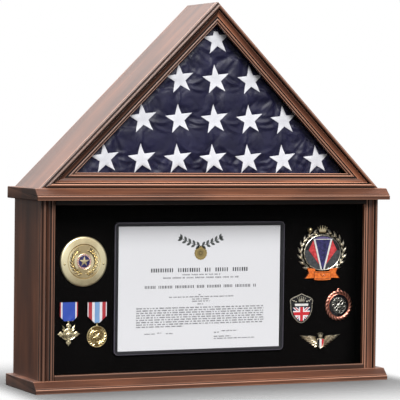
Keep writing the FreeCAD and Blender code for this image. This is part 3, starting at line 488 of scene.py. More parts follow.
def inset(outline, depth):
    """An outline drawn in by a depth."""
    made = []
    for before, here, after in zip(outline[-1:] + outline[:-1], outline, outline[1:] + outline[:1]):
        way = (Vector(here) - Vector(before)).normalized() + (Vector(after) - Vector(here)).normalized()
        made.append(tuple(Vector(here) + Vector((-way.y, way.x)).normalized() * depth))
    return made


def grain_of(points, along):
    """Each point as the wood sees it: along the grain, across it and through, in metres."""
    along = Vector(along).normalized()
    through = Vector((0, 1, 0)) if abs(along.y) < 0.5 else Vector((0, 0, 1))
    across = along.cross(through)
    start = Vector((dice.uniform(0, 9), dice.uniform(0, 9), dice.uniform(0, 9)))
    return [start + Vector([Vector(point).dot(axis) * MM for axis in (along, across, through)])
            for point in points]


def stains(outline, bands):
    """The stain at each point of an outline, between the stains given at places across it, with the light and
    shade that the bands paint.
    """
    made = []
    for place, _ in outline:
        for (low, before), (high, after) in zip(bands, bands[1:]):
            if place <= high:
                made.append(before + (after - before) * (place - low) / (high - low))
                break
    return made


def member(name, outline, loops, along, node, stain, finish="walnut", ends=()):
    """A length of walnut: its outline carried through loops, its stain a level or bands across it, which on
    the mouldings, stiles and rails also paint light and shade.
    """
    points, faces = skin_over(loops)
    stain_and_painted_light = [stain] * len(outline) if isinstance(stain, float) else stains(outline, stain)
    shares = [*ends, *[1] * (len(loops) - 2 * len(ends)), *reversed(ends)]
    return piece(name, points, faces, "walnut", (node,), finish=FINISHES[finish], marks={
        "grain": grain_of(points, along), "worn": crests(outline) * len(loops),
        "stain": [here * share for share in shares for here in stain_and_painted_light]})


# Case: where its faces lie
FRONT, WALL_FRONT, PANEL_FRONT, REAR = -58.5, -44.5, 56.5, 71.5
HALF_CASE, HALF_BOARD, WALL, REBATE = 307, 320, 13, 6.5
BOX_FLOOR, BOX_CEILING, FLAG_BASE, BOARD = 19, 308, 327, 19
MOULDING_WIDTH, END_EASE, END_GRAIN = 25, 1.2, (0.55, 0.7, 0.9)
FELT = -2.5

MOULDING = drawn([
    (0, 0), (25, 0), (25, 7.5), (22, 7.5), (22, 12.55, 2.25), (17.8, 12.55), (17.8, 8.5), (15.7, 8.5),
    (15.7, 11, -7), (8.4, 6.2), (8.4, 4.6), (6, 4.6), (6, 6.4, 1.9), (3, 6.4), (3, 4.9), (1.6, 4.9),
    (1.6, 6.4), (0, 6.4)], 0.5)
BOARD_EDGE = drawn([
    (REAR, 0), (REAR, BOARD), (FRONT, BOARD), (-69.5, 8.5), (-69.5, 7), (-71.5, 7), (-71.5, 0)], 0.8)


def rounded_ends(outline, low, high):
    """An outline at each end of a length, and just inside it, so that the ends have soft edges."""
    rows = [(low + END_EASE * (1 - share) ** 1.6, share) for share in (1, 0.55, 0.2, 0)]
    rows += [(high + low - where, share) for where, share in reversed(rows)]
    return [(where, inset(outline, END_EASE * share ** 1.6) if share else outline) for where, share in rows]


for name, level, stain in (("base", 0, 1.22), ("top", BOX_CEILING, 1.12)):
    rows = rounded_ends(BOARD_EDGE, -HALF_BOARD, HALF_BOARD)
    member(f"{name}_board_walnut", BOARD_EDGE, [[(x, y, z + level) for y, z in row] for x, row in rows],
           (1, 0, 0), f"{name}_board", stain, "board_walnut", END_GRAIN)

# The stiles' stains paint light and shade: the left stile is painted darker, the right one lighter on its
# inner side and darker towards its outer edge.
RIGHT_STILE_STAIN_AND_PAINTED_LIGHT = ((0, 1.65), (6, 1.75), (8.4, 1.85), (15.7, 1.5), (17.8, 1.0), (MOULDING_WIDTH, 0.8))
for name, side, stain in (("left", -1, 0.78), ("right", 1, RIGHT_STILE_STAIN_AND_PAINTED_LIGHT)):
    stile = [[(side * (HALF_CASE - MOULDING_WIDTH + a), WALL_FRONT - h, z) for a, h in MOULDING]
             for z in (BOX_FLOOR, BOX_CEILING)]
    member(f"{name}_stile_walnut", MOULDING, stile, (0, 0, 1), f"{name}_stile", stain)
    wall = drawn([(HALF_CASE, WALL_FRONT), (HALF_CASE, REAR), (HALF_CASE - WALL + REBATE, REAR),
                  (HALF_CASE - WALL + REBATE, PANEL_FRONT), (HALF_CASE - WALL, PANEL_FRONT),
                  (HALF_CASE - WALL, WALL_FRONT)])
    side_panel_piece = member(f"{name}_side_walnut", wall,
                   [[(side * x, y, z) for x, y in wall] for z in (BOX_FLOOR, BOX_CEILING)],
                   (0, 0, 1), f"{name}_side_panel", 1.3, "side_walnut")
    # The inner face of each side panel is given the black felt finish and shows black.
    side_panel_piece.data.materials.append(FINISHES["black_felt"])
    for polygon in side_panel_piece.data.polygons:
        polygon.material_index = int(polygon.normal.x * side < -0.9)

RAIL_FRONT, RAIL_HEIGHT = -55, 8
RAIL = drawn([(RAIL_FRONT, 0), (WALL_FRONT, 0), (WALL_FRONT, RAIL_HEIGHT), (RAIL_FRONT, RAIL_HEIGHT)], 1.4)
# The rails' low stains paint them dark: the top rail nearly black, as painted shadow under the top board, and
# the bottom rail darker than the other wood.
for name, level, stain in (("bottom", BOX_FLOOR, 0.45), ("top", BOX_CEILING - RAIL_HEIGHT, 0.12)):
    half = HALF_CASE - MOULDING_WIDTH
    member(f"{name}_rail_walnut", RAIL, [[(x, y, z + level) for y, z in RAIL] for x in (-half, half)],
           (1, 0, 0), f"{name}_rail", stain, "matt_walnut")


def flag_corner(side, depth):
    """A corner of the flag case's triangle, set in from its faces: left -1, apex 0, right 1."""
    if side == 0:
        return 0, FLAG_BASE + HALF_CASE - depth * math.sqrt(2)
    return side * (HALF_CASE - depth * (1 + math.sqrt(2))), FLAG_BASE + depth


def mitred(name, outline, sides, along, node, stain, finish="walnut"):
    """A side of the triangle, cut to a mitre at both ends; its outline is depth in and depth back."""
    loops = []
    for side in sides:
        corners = [(flag_corner(side, depth), y) for depth, y in outline]
        loops.append([(x, y, z) for (x, z), y in corners])
    member(name, outline, loops, along, node, stain, finish)


# The bands across each moulding, from its outer edge in, paint light and shade with its stain: the left
# moulding is painted dark, lightest at the inner end of its cove, the right one's cove up to four times
# lighter towards its inner end, and the bottom one's cove lighter towards its outer end.
SIDES = {
    "left": ((-1, 0), (1, 0, 1), (
        (0, 0.5), (9.3, 0.5), (13, 0.85), (16.6, 1.25), (19, 0.85), (MOULDING_WIDTH, 0.85))),
    "right": ((0, 1), (1, 0, -1), (
        (0, 0.9), (7.2, 1.0), (9.3, 1.7), (13, 3.2), (16.6, 4.0), (19, 1.7), (MOULDING_WIDTH, 1.2))),
    "bottom": ((1, -1), (1, 0, 0), (
        (0, 1.4), (7.2, 1.6), (9.4, 1.4), (10.4, 3.2), (13, 2.7), (16.6, 1.2), (19, 1.5),
        (MOULDING_WIDTH, 1.45))),
}
FLAG_MOULDING = [(MOULDING_WIDTH - a, WALL_FRONT - h) for a, h in MOULDING]
FLAG_WALL = drawn([(0, WALL_FRONT), (0, REAR), (WALL - REBATE, REAR), (WALL - REBATE, PANEL_FRONT),
                   (WALL, PANEL_FRONT), (WALL, WALL_FRONT)])
for name, (sides, along, stain) in SIDES.items():
    mitred(f"{name}_moulding_walnut", FLAG_MOULDING, sides, along, f"{name}_moulding", stain)
    wall_name, wall_node = f"{name}_rafter_walnut", f"{name}_rafter"
    if name == "bottom":
        wall_name, wall_node = "flag_floor_walnut", "flag_case_floor"
    mitred(wall_name, FLAG_WALL, sides, along, wall_node, 1.45, "roof_walnut")


# Folded flag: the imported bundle, remeshed, with the cloth between its stars left a little too large,
# so that it puckers round the stitching as real cloth does
STAR_RADIUS, STAR_WAIST, STAR_TILT = 26, 0.39, 7
STARS = [(2.2 + 1.3 * row + (column - (many - 1) / 2) * 64.4, 374.5 + 65.8 * row)
         for row, many in enumerate((7, 5, 3, 1)) for column in range(many)]
FLAG_FRONT, FLAG_VOXEL, PUCKER, PUCKER_FRAMES = -35.0, 3.4, 3, 20
STAR_FOLD, FOLD_SPAN, SEWN_FOLD, FOLD_DEPTH = 586, 45, 0.3, 0.85
fold_dice = random.Random(21)
FOLDS = []
for x, z in STARS:
    for low, rise in ((8, 1.2), (-4, 1.9), (-15, 1.5)):
        FOLDS.append((x + 32 + fold_dice.uniform(-6, 6), z + low + fold_dice.uniform(-3, 3),
                      math.radians(fold_dice.uniform(-34, 20)), fold_dice.uniform(12, 22),
                      fold_dice.uniform(3.6, 5.2), rise * fold_dice.uniform(0.5, 1.15)))
    FOLDS.append((x - 4 + fold_dice.uniform(-4, 4), z + 34, math.radians(90 + fold_dice.uniform(-18, 18)), 17,
                  fold_dice.uniform(2.8, 4), fold_dice.uniform(0.7, 1.3)))


def star_outline(radius, tilt):
    """A five-pointed star about its own centre, leaning by a tilt in degrees."""
    return [around(radius * (STAR_WAIST if step % 2 else 1), 90 + tilt + 36 * step) for step in range(10)]


def inside(point, outline):
    """Whether a point lies in an outline."""
    hit = False
    for (x1, z1), (x2, z2) in zip(outline, outline[1:] + outline[:1]):
        if (z1 > point[1]) != (z2 > point[1]) and point[0] < x1 + (point[1] - z1) * (x2 - x1) / (z2 - z1):
            hit = not hit
    return hit


def from_star(x, z):
    """A point of the flag's front as seen from the middle of the nearest star."""
    near = min(STARS, key=lambda star: (x - star[0]) ** 2 + (z - star[1]) ** 2)
    return x - near[0], z - near[1]


def fold_height(x, z):
    """How far the front's folds stand forward at a point: swags between stars, creases above them."""
    height = 0.9 * noise.noise((x * 0.03, 3, z * 0.045)) + 0.4 * noise.noise((x * 0.07, 9, z * 0.1))
    for fold_x, fold_z, tilt, reach, width, rise in FOLDS:
        a, b = x - fold_x, z - fold_z
        if abs(a) < FOLD_SPAN and abs(b) < FOLD_SPAN:
            along = a * math.cos(tilt) + b * math.sin(tilt)
            across = (b * math.cos(tilt) - a * math.sin(tilt) - 0.012 * along * along) / width
            height += rise * (1 - across * across) * math.exp(-across * across - (along / reach) ** 2)
    return height


def folded_flag():
    """The flag's bundle, its front puckered by a cloth simulation and then folded round the stitching."""
    mesh = frame["nodes"]["folded_flag"].data.copy()
    mesh.name = "folded_flag_cloth"
    mesh.materials.clear()
    flag = bpy.data.objects.new("folded_flag_cloth", mesh)
    bpy.context.scene.collection.objects.link(flag)
    remesh = flag.modifiers.new("even_mesh", "REMESH")
    remesh.mode = "VOXEL"
    remesh.voxel_size = FLAG_VOXEL * MM
    settle(flag)
    pucker(flag)
    for polygon in flag.data.polygons:
        polygon.use_smooth = True
    flag.data.materials.append(FINISHES["navy_cloth"])
    fuller = flag.modifiers.new("fuller_mesh", "SUBSURF")
    fuller.levels = fuller.render_levels = 1
    settle(flag)
    shape = star_outline(STAR_RADIUS, STAR_TILT)
    for vertex in flag.data.vertices:
        x, y, z = vertex.co / MM
        loose = max(0, 1 - max(0, y - FLAG_FRONT - PUCKER) / PUCKER)
        if loose:
            sewn = SEWN_FOLD if inside(from_star(x, z), shape) else 1
            vertex.co.y -= loose * sewn * fold_height(x, z) * FOLD_DEPTH * MM
    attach(flag, "case")
    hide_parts("folded_flag")
    return flag


def settle(obj):
    """Keep an object's mesh as its modifiers leave it."""
    bpy.context.view_layer.update()
    shaped = bpy.data.meshes.new_from_object(obj.evaluated_get(bpy.context.evaluated_depsgraph_get()))
    obj.modifiers.clear()
    obj.data = shaped


def pucker(flag):
    """Let the front's cloth grow and fill a little where no star is sewn, held at the bundle's edges."""
    rest = [vertex.co.copy() for vertex in flag.data.vertices]
    shape = star_outline(STAR_RADIUS * 0.95, STAR_TILT)
    held = flag.vertex_groups.new(name="held")
    for vertex in flag.data.vertices:
        x, y, z = vertex.co / MM
        sewn = 0.85 if inside(from_star(x, z), shape) else 0
        held.add([vertex.index], max(sewn, min(1, max(0, (y - FLAG_FRONT - 1) / 5))), "REPLACE")
    cloth = flag.modifiers.new("pucker", "CLOTH")
    settings = cloth.settings
    settings.quality = 5
    settings.mass = 0.15
    settings.tension_stiffness = settings.compression_stiffness = settings.shear_stiffness = 12
    settings.bending_stiffness = 0.02
    settings.air_damping = 4
    settings.vertex_group_mass = "held"
    settings.vertex_group_shrink = "held"
    settings.shrink_min = -0.08
    settings.shrink_max = 0
    settings.use_pressure = True
    settings.uniform_pressure_force = 1.5
    settings.effector_weights.gravity = 0
    cloth.collision_settings.use_collision = False
    cloth.point_cache.frame_end = PUCKER_FRAMES
    for step in range(1, PUCKER_FRAMES + 1):
        bpy.context.scene.frame_set(step)
    settle(flag)
    bpy.context.scene.frame_set(1)
    for vertex, start in zip(flag.data.vertices, rest):
        moved = vertex.co - start
        moved.y = PUCKER * MM * math.tanh(moved.y / (PUCKER * MM))
        vertex.co = start + moved


flag = folded_flag()


def both(points):
    """An outline completed on its left from its right half."""
    return points + [(-a, b) for a, b in reversed(points) if a > 0]


def edge(height, soft=0.4):
    """A profile with an upright side and a soft edge."""
    return [(0, 0, -1), (0, height - soft, 0), (soft * 0.3, height - soft * 0.3, 0.7), (soft, height, 0.4)]


CROWN = [(0.34, 0), (0.37, 0.24), (0.5, 0.78), (0.33, 0.42), (0.27, 0.94), (0.12, 0.46), (0, 1)]
WIRE_SIDES, ROPE_SIDES, ROPE_FLAT = 8, 12, 0.55


class Casting:
    """Points, faces and wear of a piece that is put together from several raised forms.

    A form is given from the piece's middle. It lies on an upright plane, and its heights stand forward
    from that plane.
    """

    def __init__(self, middle):
        self.middle, self.points, self.faces, self.worn = middle, [], [], []

    def add(self, points, faces, worn):
        """Take in a form."""
        start, (x, z) = len(self.points), self.middle
        self.points += [(x + a, y, z + b) for a, y, b in points]
        self.worn += worn
        self.faces += [tuple(start + corner for corner in face) for face in faces]

    def rows(self, loops, worn):
        """A form over loops of points, with one wear for each loop or for each point of a loop."""
        points, faces = skin_over(loops)
        shares = worn if hasattr(worn[0], "__len__") else [[value] * len(loops[0]) for value in worn]
        self.add(points, faces, [value for share in shares for value in share])

    def turned(self, y, profile, steps=48, wide=1, high=1, at=(0, 0)):
        """A profile of (radius, height, wear) turned about a point, round or oval."""
        turns = [math.tau * step / steps for step in range(steps)]
        loops = [[(at[0] + radius * wide * math.cos(turn), y - height, at[1] + radius * high * math.sin(turn))
                  for turn in turns] for radius, height, _ in profile]
        self.rows(loops, [wear for _, _, wear in profile])

    def raised(self, outline, y, profile):
        """An outline with a profile of (inset, height, wear) up its sides."""
        outline = one_way(outline)
        loops = [[(a, y - height, b) for a, b in (inset(outline, depth) if depth else outline)]
                 for depth, height, _ in profile]
        self.rows(loops, [wear for _, _, wear in profile])

    def leaf(self, a, y, b, angle, length, width, height, steps=6):
        """A leaf or feather with a rib along it, from its root, at an angle in degrees."""
        way_a, way_b = around(1, angle)
        way, side = Vector((way_a, 0, way_b)), Vector((-way_b, 0, way_a))
        loops = []
        for step in range(steps + 1):
            share = step / steps
            half = width / 2 * max(0.04, math.sin(math.pi * share ** 0.85))
            middle = Vector((a, y, b)) + way * (length * share)
            rib = height * (0.35 + 0.65 * math.sin(math.pi * min(1, share + 0.12)))
            loops.append([tuple(middle + side * (half * across) - Vector((0, rib * rise, 0)))
                          for across, rise in ((-1, 0), (-0.94, 0.42), (0, 1), (0.94, 0.42), (1, 0))])
        self.rows(loops, [[-1, -0.1, 1, -0.1, -1]] * len(loops))

    def wire(self, path, radius, closed=False, wear=0.5):
        """A round wire along points of (a, y, b)."""
        loops = []
        spots = [Vector(point) for point in path]
        turns = [math.tau * step / WIRE_SIDES for step in range(WIRE_SIDES)]
        for index, here in enumerate(spots):
            before = spots[index - 1] if closed or index else here
            after = spots[(index + 1) % len(spots)] if closed or index < len(spots) - 1 else here
            way = (after - before).normalized()
            side = way.cross(Vector((0, 1, 0))).normalized()
            rise = side.cross(way)
            loops.append([tuple(here + (side * math.cos(turn) + rise * math.sin(turn)) * radius)
                          for turn in turns])
        points, faces = skin_over(loops + loops[:1] if closed else loops, not closed)
        self.add(points, faces, [wear] * len(points))

    def ring(self, y, half_width, half_height, radius, start=0, end=360, steps=64, wear=0.5, lift=0):
        """A wire round an oval, or along a part of it in degrees."""
        closed = abs(end - start) == 360
        turns = [start + (end - start) * step / steps for step in range(steps if closed else steps + 1)]
        path = [(around(half_width, turn)[0], y, lift + around(half_height, turn)[1]) for turn in turns]
        self.wire(path, radius, closed, wear)

    def rope(self, y, radius, thick, twists):
        """A ring of rope of two strands, a little flattened."""
        loops, worn, steps = [], [], ROPE_SIDES * twists
        for step in range(steps):
            turn = math.tau * step / steps
            loops.append([])
            for side in range(ROPE_SIDES):
                lay = math.tau * side / ROPE_SIDES
                ridge = abs(math.cos((turn * twists + lay * 2) / 2))
                reach = thick * (0.72 + 0.28 * ridge)
                out = radius + reach * math.cos(lay)
                loops[-1].append((out * math.cos(turn), y - reach * ROPE_FLAT * math.sin(lay),
                                  out * math.sin(turn)))
                worn.append(ridge * 1.7 - 1)
        points, faces = skin_over(loops + loops[:1], False)
        self.add(points, faces, worn + worn[:ROPE_SIDES])

    def bead(self, a, y, b, radius, rise=1.0):
        """A small dome."""
        turns = [math.radians(angle) for angle in (0, 25, 50, 70, 85)]
        self.turned(y, [(radius * math.cos(turn), radius * rise * math.sin(turn), math.sin(turn) * 1.6 - 1)
                        for turn in turns], 16, at=(a, b))

    def star(self, y, radius, height, tilt=0):
        """A faceted star with a ridge along each arm."""
        ring = star_outline(radius, tilt)
        count = len(ring)
        corners = [(a, y, b) for a, b in ring] + [(a, y - height * 0.3, b) for a, b in ring]
        corners += [(0, y - height, 0), (0, y, 0)]
        faces = []
        for step in range(count):
            after = (step + 1) % count
            faces += [(step, after, count + after, count + step), (count + step, count + after, 2 * count),
                      (after, step, 2 * count + 1)]
        self.add(corners, faces, [-1] * count + [0.6, -0.2] * (count // 2) + [1, -1])

    def spray(self, y, half_width, half_height, turns, leans, leaf):
        """Leaves in pairs up both sides of an oval, at turns and leans in degrees."""
        for turn in turns:
            across, up = around(half_width, turn)[0], around(half_height, turn)[1]
            heading = math.degrees(math.atan2(around(half_height, turn)[0], -around(half_width, turn)[1]))
            for lean in leans:
                self.leaf(across, y, up, heading + lean, *leaf)
                self.leaf(-across, y, up, 180 - heading - lean, *leaf)

    def crown(self, y, foot, width, height, thick):
        """A crown of five points on a band, with a pearl on each point."""
        self.raised(both([(a * width, foot + b * height) for a, b in CROWN]), y, edge(thick))
        self.wire([(side * 0.35 * width, y - thick, foot + 0.12 * height) for side in (-1, 1)],
                  0.06 * width, wear=-0.7)
        for a, b in CROWN[2::2]:
            for side in ((-1, 1) if a else (1,)):
                self.bead(side * a * width, y - thick * 0.5, foot + b * height, 0.065 * width)

    def make(self, name, slot, nodes=(), body="display_unit", finish=None):
        """The finished piece."""
        return piece(name, self.points, self.faces, slot, nodes, body, {"worn": self.worn}, finish)


def inlay(name, middle, outline, y, profile, slot, nodes=(), finish=None):
    """A piece with one raised outline."""
    casting = Casting(middle)
    casting.raised(outline, y, profile)
    casting.make(name, slot, nodes, finish=finish)


def turning(name, middle, y, profile, steps, slot, nodes=(), body="display_unit", finish=None):
    """A piece with one turned profile."""
    casting = Casting(middle)
    casting.turned(y, profile, steps)
    casting.make(name, slot, nodes, body, finish)


# Stars: satin stitch a little proud of the cloth, following its puckers
STAR_RAY, STAR_SINK, STAR_SPLITS = 80, 12, 6
flag_skin = BVHTree.FromObject(flag, bpy.context.evaluated_depsgraph_get())


def on_flag(x, z, proud):
    """A point that stands a little proud of the flag's front, or of the fold where the front ends."""
    start = Vector((x, FRONT, min(z, STAR_FOLD))) * MM
    hit, normal, _, _ = flag_skin.ray_cast(start, Vector((0, 1, 0)), STAR_RAY * MM)
    if hit is None:
        hit, normal, _, _ = flag_skin.find_nearest(Vector((x, FLAG_FRONT + STAR_SINK, z)) * MM)
    return tuple((hit + normal * proud * MM) / MM)


def flag_stars():
    """Every star in one piece, domed in rows from its rim, with the direction of its threads."""
    points, faces, stitch, ring = [], [], [], []
    outline = [Vector(corner) for corner in star_outline(STAR_RADIUS, STAR_TILT)]
    for first, last in zip(outline, outline[1:] + outline[:1]):
        ring += [first.lerp(last, part / STAR_SPLITS) for part in range(STAR_SPLITS)]
    rows = ((1, 0.05), (0.97, 0.55), (0.8, 0.8), (0.55, 0.9), (0.28, 0.95), (0.02, 0.95))
    for x, z in STARS:
        loops = []
        for share, proud in rows:
            loops.append([])
            for index, corner in enumerate(ring):
                a, b = corner * share
                loops[-1].append(on_flag(x + a, z + b, proud))
                arm = math.radians(90 + STAR_TILT + 72 * round(index / STAR_SPLITS / 2))
                along = a * math.cos(arm) + b * math.sin(arm)
                across = b * math.cos(arm) - a * math.sin(arm)
                stitch.append((along * MM, across * MM, min(1, along / STAR_RADIUS + 0.35)))
        skin, patches = skin_over(loops, False)
        patches.append(tuple(range(len(skin) - len(ring), len(skin))))
        faces += [tuple(len(points) + corner for corner in patch) for patch in patches]
        points += skin
    piece("flag_stars_embroidery", points, faces, "white_thread", ("flag_stars",), marks={"stitch": stitch})


flag_stars()

# Certificate: a padded holder with a painted highlight along its rounded edge, and the print on the sheet
HOLDER, PRINT_Y, COVER_GAP = (-4.5, 159.8), -5.43, 0.06


def round_rectangle(width, height, corner, steps=8):
    """An outline with round corners about its own centre."""
    made = []
    for quarter, (right, up) in enumerate(((1, 1), (-1, 1), (-1, -1), (1, -1))):
        for step in range(steps + 1):
            a, b = around(corner, 90 * (quarter + step / steps))
            made.append((right * (width / 2 - corner) + a, up * (height / 2 - corner) + b))
    return made


# The third numbers of the holder's profile mark its rounded rim, where the cover is painted pale as a
# highlight.
inlay("certificate_holder_cover", HOLDER, round_rectangle(313, 220, 8), FELT, [
    (0, 0, 0), (0, 3.4, 0), (0.5, 4.5, 0.9), (1, 5, 1), (1.5, 5.05, 0.9), (2.1, 5, 0), (6.1, 4.9, 0),
    (6.6, 4.6, 0), (6.9, 3.2, 0), (7, 2.4, 0)], "navy_plastic", ("certificate_holder",))
inlay("certificate_cover_pane", HOLDER, round_rectangle(298, 211, 0.8, 4), PRINT_Y - COVER_GAP, [
    (0.1, 0, 0), (0, 0.12, 0), (0, 0.99, 0), (0.12, 1.11, 0)], "clear_plastic", ("certificate_cover",))


def ink(name, shade, deep):
    """Printing ink, a little uneven on the paper."""
    def recipe(start):
        patchy = spot(start).noise(900, 3)
        return {"Base Color": patchy.between(tone(*deep), tone(*shade)), "Roughness": 0.6}
    return surface(name, recipe)


print_dice = random.Random(11)


class Print:
    """Flat shapes printed on the sheet, placed from its middle."""

    def __init__(self, y=PRINT_Y):
        self.points, self.faces, self.y = [], [], y

    def shape(self, corners):
        """One printed shape."""
        start = len(self.points)
        self.points += [(HOLDER[0] + a, self.y, HOLDER[1] + b) for a, b in corners]
        self.faces.append(tuple(range(start, len(self.points))))

    def bar(self, left, right, low, high):
        """A printed rectangle."""
        self.shape([(left, low), (right, low), (right, high), (left, high)])

    def line(self, left, right, level, height, gap, pitch, weight):
        """A line of plain upright strokes in groups, in place of words."""
        where = left
        while where < right - pitch:
            for _ in range(print_dice.randint(3, 12)):
                if where + pitch > right:
                    break
                stroke = pitch * weight * print_dice.uniform(0.8, 1.2)
                self.bar(where, where + stroke, level - height / 2, level + height / 2)
                where += pitch
            where += gap

    def make(self, name, finish):
        """The finished print."""
        return piece(name, self.points, self.faces, "paper", body="display_unit", finish=finish)


words = Print()
for left, right, level, height, gap, pitch in (
        (-90, 94, 29.5, 6.6, 7, 4.2), (-101, 106, 1.6, 4.8, 4.5, 2.9), (-33, 37, 21.6, 2.2, 2.2, 1.2),
        (-68, 72, 16.6, 2.6, 2.6, 1.45)):
    words.line(left, right, level, height, gap, pitch, 0.5)
words.make("certificate_headings", ink("heading_ink", (48, 48, 54), (30, 30, 36)))
small_words = Print()
for left, right, level in ((-3, 3, -12.2), (-57, 62, -15.6), (-15, 18, -19.4), (-15, 18, -23), (-5, 6, -27.8),
                           (-101, -82, -76), (-78, -70, -74.6), (-62, -49, -76), (26, 36, -76.2),
                           (40, 70, -74), (26, 58, -83), (26, 102, -86.6)):
    small_words.line(left, right, level, 1.8, 1.6, 0.9, 0.62)
for row in range(9):
    small_words.line(-116, -30 if row == 8 else 119, -33.4 - 3.85 * row, 2.1, 2, 0.9, 0.62)
small_words.make("certificate_text", ink("text_ink", (62, 62, 70), (34, 34, 40)))


def leaf_print(page, x, z, angle, length, width):
    """A printed leaf."""
    way = Vector(around(1, angle))
    side = Vector((-way.y, way.x))
    rim = []
    for share, hand in [(step / 5, 1) for step in range(6)] + [(step / 5, -1) for step in (4, 3, 2, 1)]:
        rim.append(way * (length * share) + side * (hand * width / 2 * math.sin(math.pi * share)))
    page.shape([(x + a, z + b) for a, b in rim])


sprigs = Print()
for side in (-1, 1):
    stem = [(side * (8 * step - 6), 68.5 + 13 * (step / 5) ** 1.5) for step in range(6)]
    for (x1, z1), (x2, z2) in zip(stem, stem[1:]):
        sprigs.shape([(x1, z1 - 0.5), (x2, z2 - 0.5), (x2, z2 + 0.5), (x1, z1 + 0.5)])
        heading = math.degrees(math.atan2(z2 - z1, x2 - x1))
        for lean in (42, -42):
            leaf_print(sprigs, x2, z2, heading + lean, 9.2, 4.6)
    leaf_print(sprigs, *stem[-1], heading, 8, 4)
sprigs.make("certificate_sprigs", ink("sprig_ink", (84, 88, 86), (54, 58, 57)))
SEAL_Z, SEAL_RADIUS = 57.5, 11.5
seal = Print()
rim = [(SEAL_RADIUS * (1 + 0.05 * math.cos(step * math.tau / 4)), math.tau * step / 64) for step in range(64)]
seal.shape([(reach * math.cos(turn), SEAL_Z + reach * math.sin(turn)) for reach, turn in rim])
seal.make("certificate_seal", ink("seal_ink", (168, 148, 92), (132, 112, 62)))
seal_rings = Print(PRINT_Y - COVER_GAP / 2)
for radius in (9.4, 6.2):
    for step in range(48):
        turn, after = math.tau * step / 48, math.tau * (step + 1) / 48
        seal_rings.shape([(reach * math.cos(angle), SEAL_Z + reach * math.sin(angle)) for reach, angle in
                          ((radius, turn), (radius + 0.5, turn), (radius + 0.5, after), (radius, after))])
for turn in range(0, 360, 30):
    x, z = around(1.2, turn)
    leaf_print(seal_rings, x, SEAL_Z + z, turn, 4.6, 1.5)
seal_rings.make("certificate_seal_lines", ink("seal_line_ink", (92, 76, 40), (74, 60, 30)))

# Medallion: a brushed disc with a groove, a star on a blue roundel, and laurel round it
MEDALLION, LAUREL_RADIUS = (-214.5, 206.2), 20.2


def brushed_gold(start):
    """Gold brushed round and round, with two fans of painted highlight, brightest to its left and right."""
    x, _, z = spot(start).split()
    across, up = x - MEDALLION[0] * MM, z - MEDALLION[1] * MM
    radius = (across ** 2 + up ** 2) ** 0.5
    rings = start.node("ShaderNodeCombineXYZ", None, {0: radius * 2600, 1: 0, 2: 0}).noise(1, 2, 0.6)
    tarnish = spot(start).noise(70, 4, 0.6)
    worn = mark(start, "worn")
    # Two fans of painted highlight: paler towards the left and right of the disc, darker above and below.
    painted_fan_highlight = (across / radius.at_least(0.002)) ** 2
    shade = (tarnish * 0.3 + rings * 0.3 + worn * 0.4 + painted_fan_highlight.fade(0.25, 0.95) * 0.5).fade(-0.05, 0.85)
    return {"Base Color": shade.between(tone(172, 146, 100), tone(255, 243, 202)), "Metallic": 1.0,
            "Roughness": 0.34 + tarnish * 0.12, "Normal": rings.bump(0.35, 0.0002)}


turning("medallion_disc", MEDALLION, FELT, [
    (41.25, 0, -1), (41.25, 2.6, 0), (40.9, 3.2, 0.6), (39.6, 4.2, 0.5), (38.2, 4.6, 0.3), (29.6, 5, 0.3),
    (28.9, 4.95, 0.3), (28.5, 4.3, -1), (27.7, 4.2, -1), (27.3, 4.9, 0), (26.6, 5, -0.1), (12, 5.05, -0.2),
    (0.5, 5.1, -0.2)], 96, "brass", ("medallion",), finish=surface("brushed_gold", brushed_gold))
laurel = Casting(MEDALLION)
laurel.spray(FELT - 5, LAUREL_RADIUS, LAUREL_RADIUS, [-78 + 15.5 * station for station in range(9)],
             (-24, 24), (9, 3.6, 2.2, 5))
for half_width in (-LAUREL_RADIUS, LAUREL_RADIUS):
    laurel.ring(FELT - 5.2, half_width, LAUREL_RADIUS, 0.4, -82, 60, 24)
laurel.ring(FELT - 5.1, 12.6, 12.6, 0.45)
laurel.star(FELT - 5.5, 9, 0.9)
laurel.make("medallion_laurel_and_star", "brass", ("medallion_emblem",),
            finish=metal("laurel_gold", (98, 74, 42), (250, 232, 184), 0.28, 120))
turning("medallion_roundel", MEDALLION, FELT - 4.9, [
    (9.8, 0, 0), (9.8, 0.5, 0), (9.3, 0.7, 0), (0.5, 0.75, 0)], 48, "navy_enamel")
WHITE_ENAMEL = enamel("white_enamel", (232, 230, 226), (212, 210, 206))
for name, shift, finish in (("red", 0, None), ("white", 7.5, WHITE_ENAMEL)):
    tiles = Casting(MEDALLION)
    for turn in range(0, 360, 15):
        first, last = turn + shift + 0.5, turn + shift + 7
        tile = [around(10.2, first), around(12.2, first), around(12.2, last), around(10.2, last)]
        tiles.raised(tile, FELT - 4.9, edge(0.55, 0.15))
    tiles.make(f"medallion_{name}_tiles", "red_enamel", finish=finish)
rivets = Casting(MEDALLION)
for side in (-1, 1):
    rivets.bead(side * 33.9, FELT - 4.7, -4.2, 1.7, 0.6)
rivets.make("medallion_rivet_heads", "brass", ("medallion_rivets",))

# Medals: striped ribbons that narrow to a bar, and the pendants below them
LEFT_X, LEFT_TOP, LEFT_FOOT, LEFT_WIDTH, LEFT_FOOT_WIDTH = -239.6, 140.2, 109.6, 31, 16
RIGHT_X, RIGHT_TOP, RIGHT_FOOT, RIGHT_WIDTH, RIGHT_FOOT_WIDTH = -190, 139.2, 105.3, 33.5, 9
RIBBON_STRAIGHT, RIBBON_Y = 23, -5.2
PENDANT_BACK = -4.5


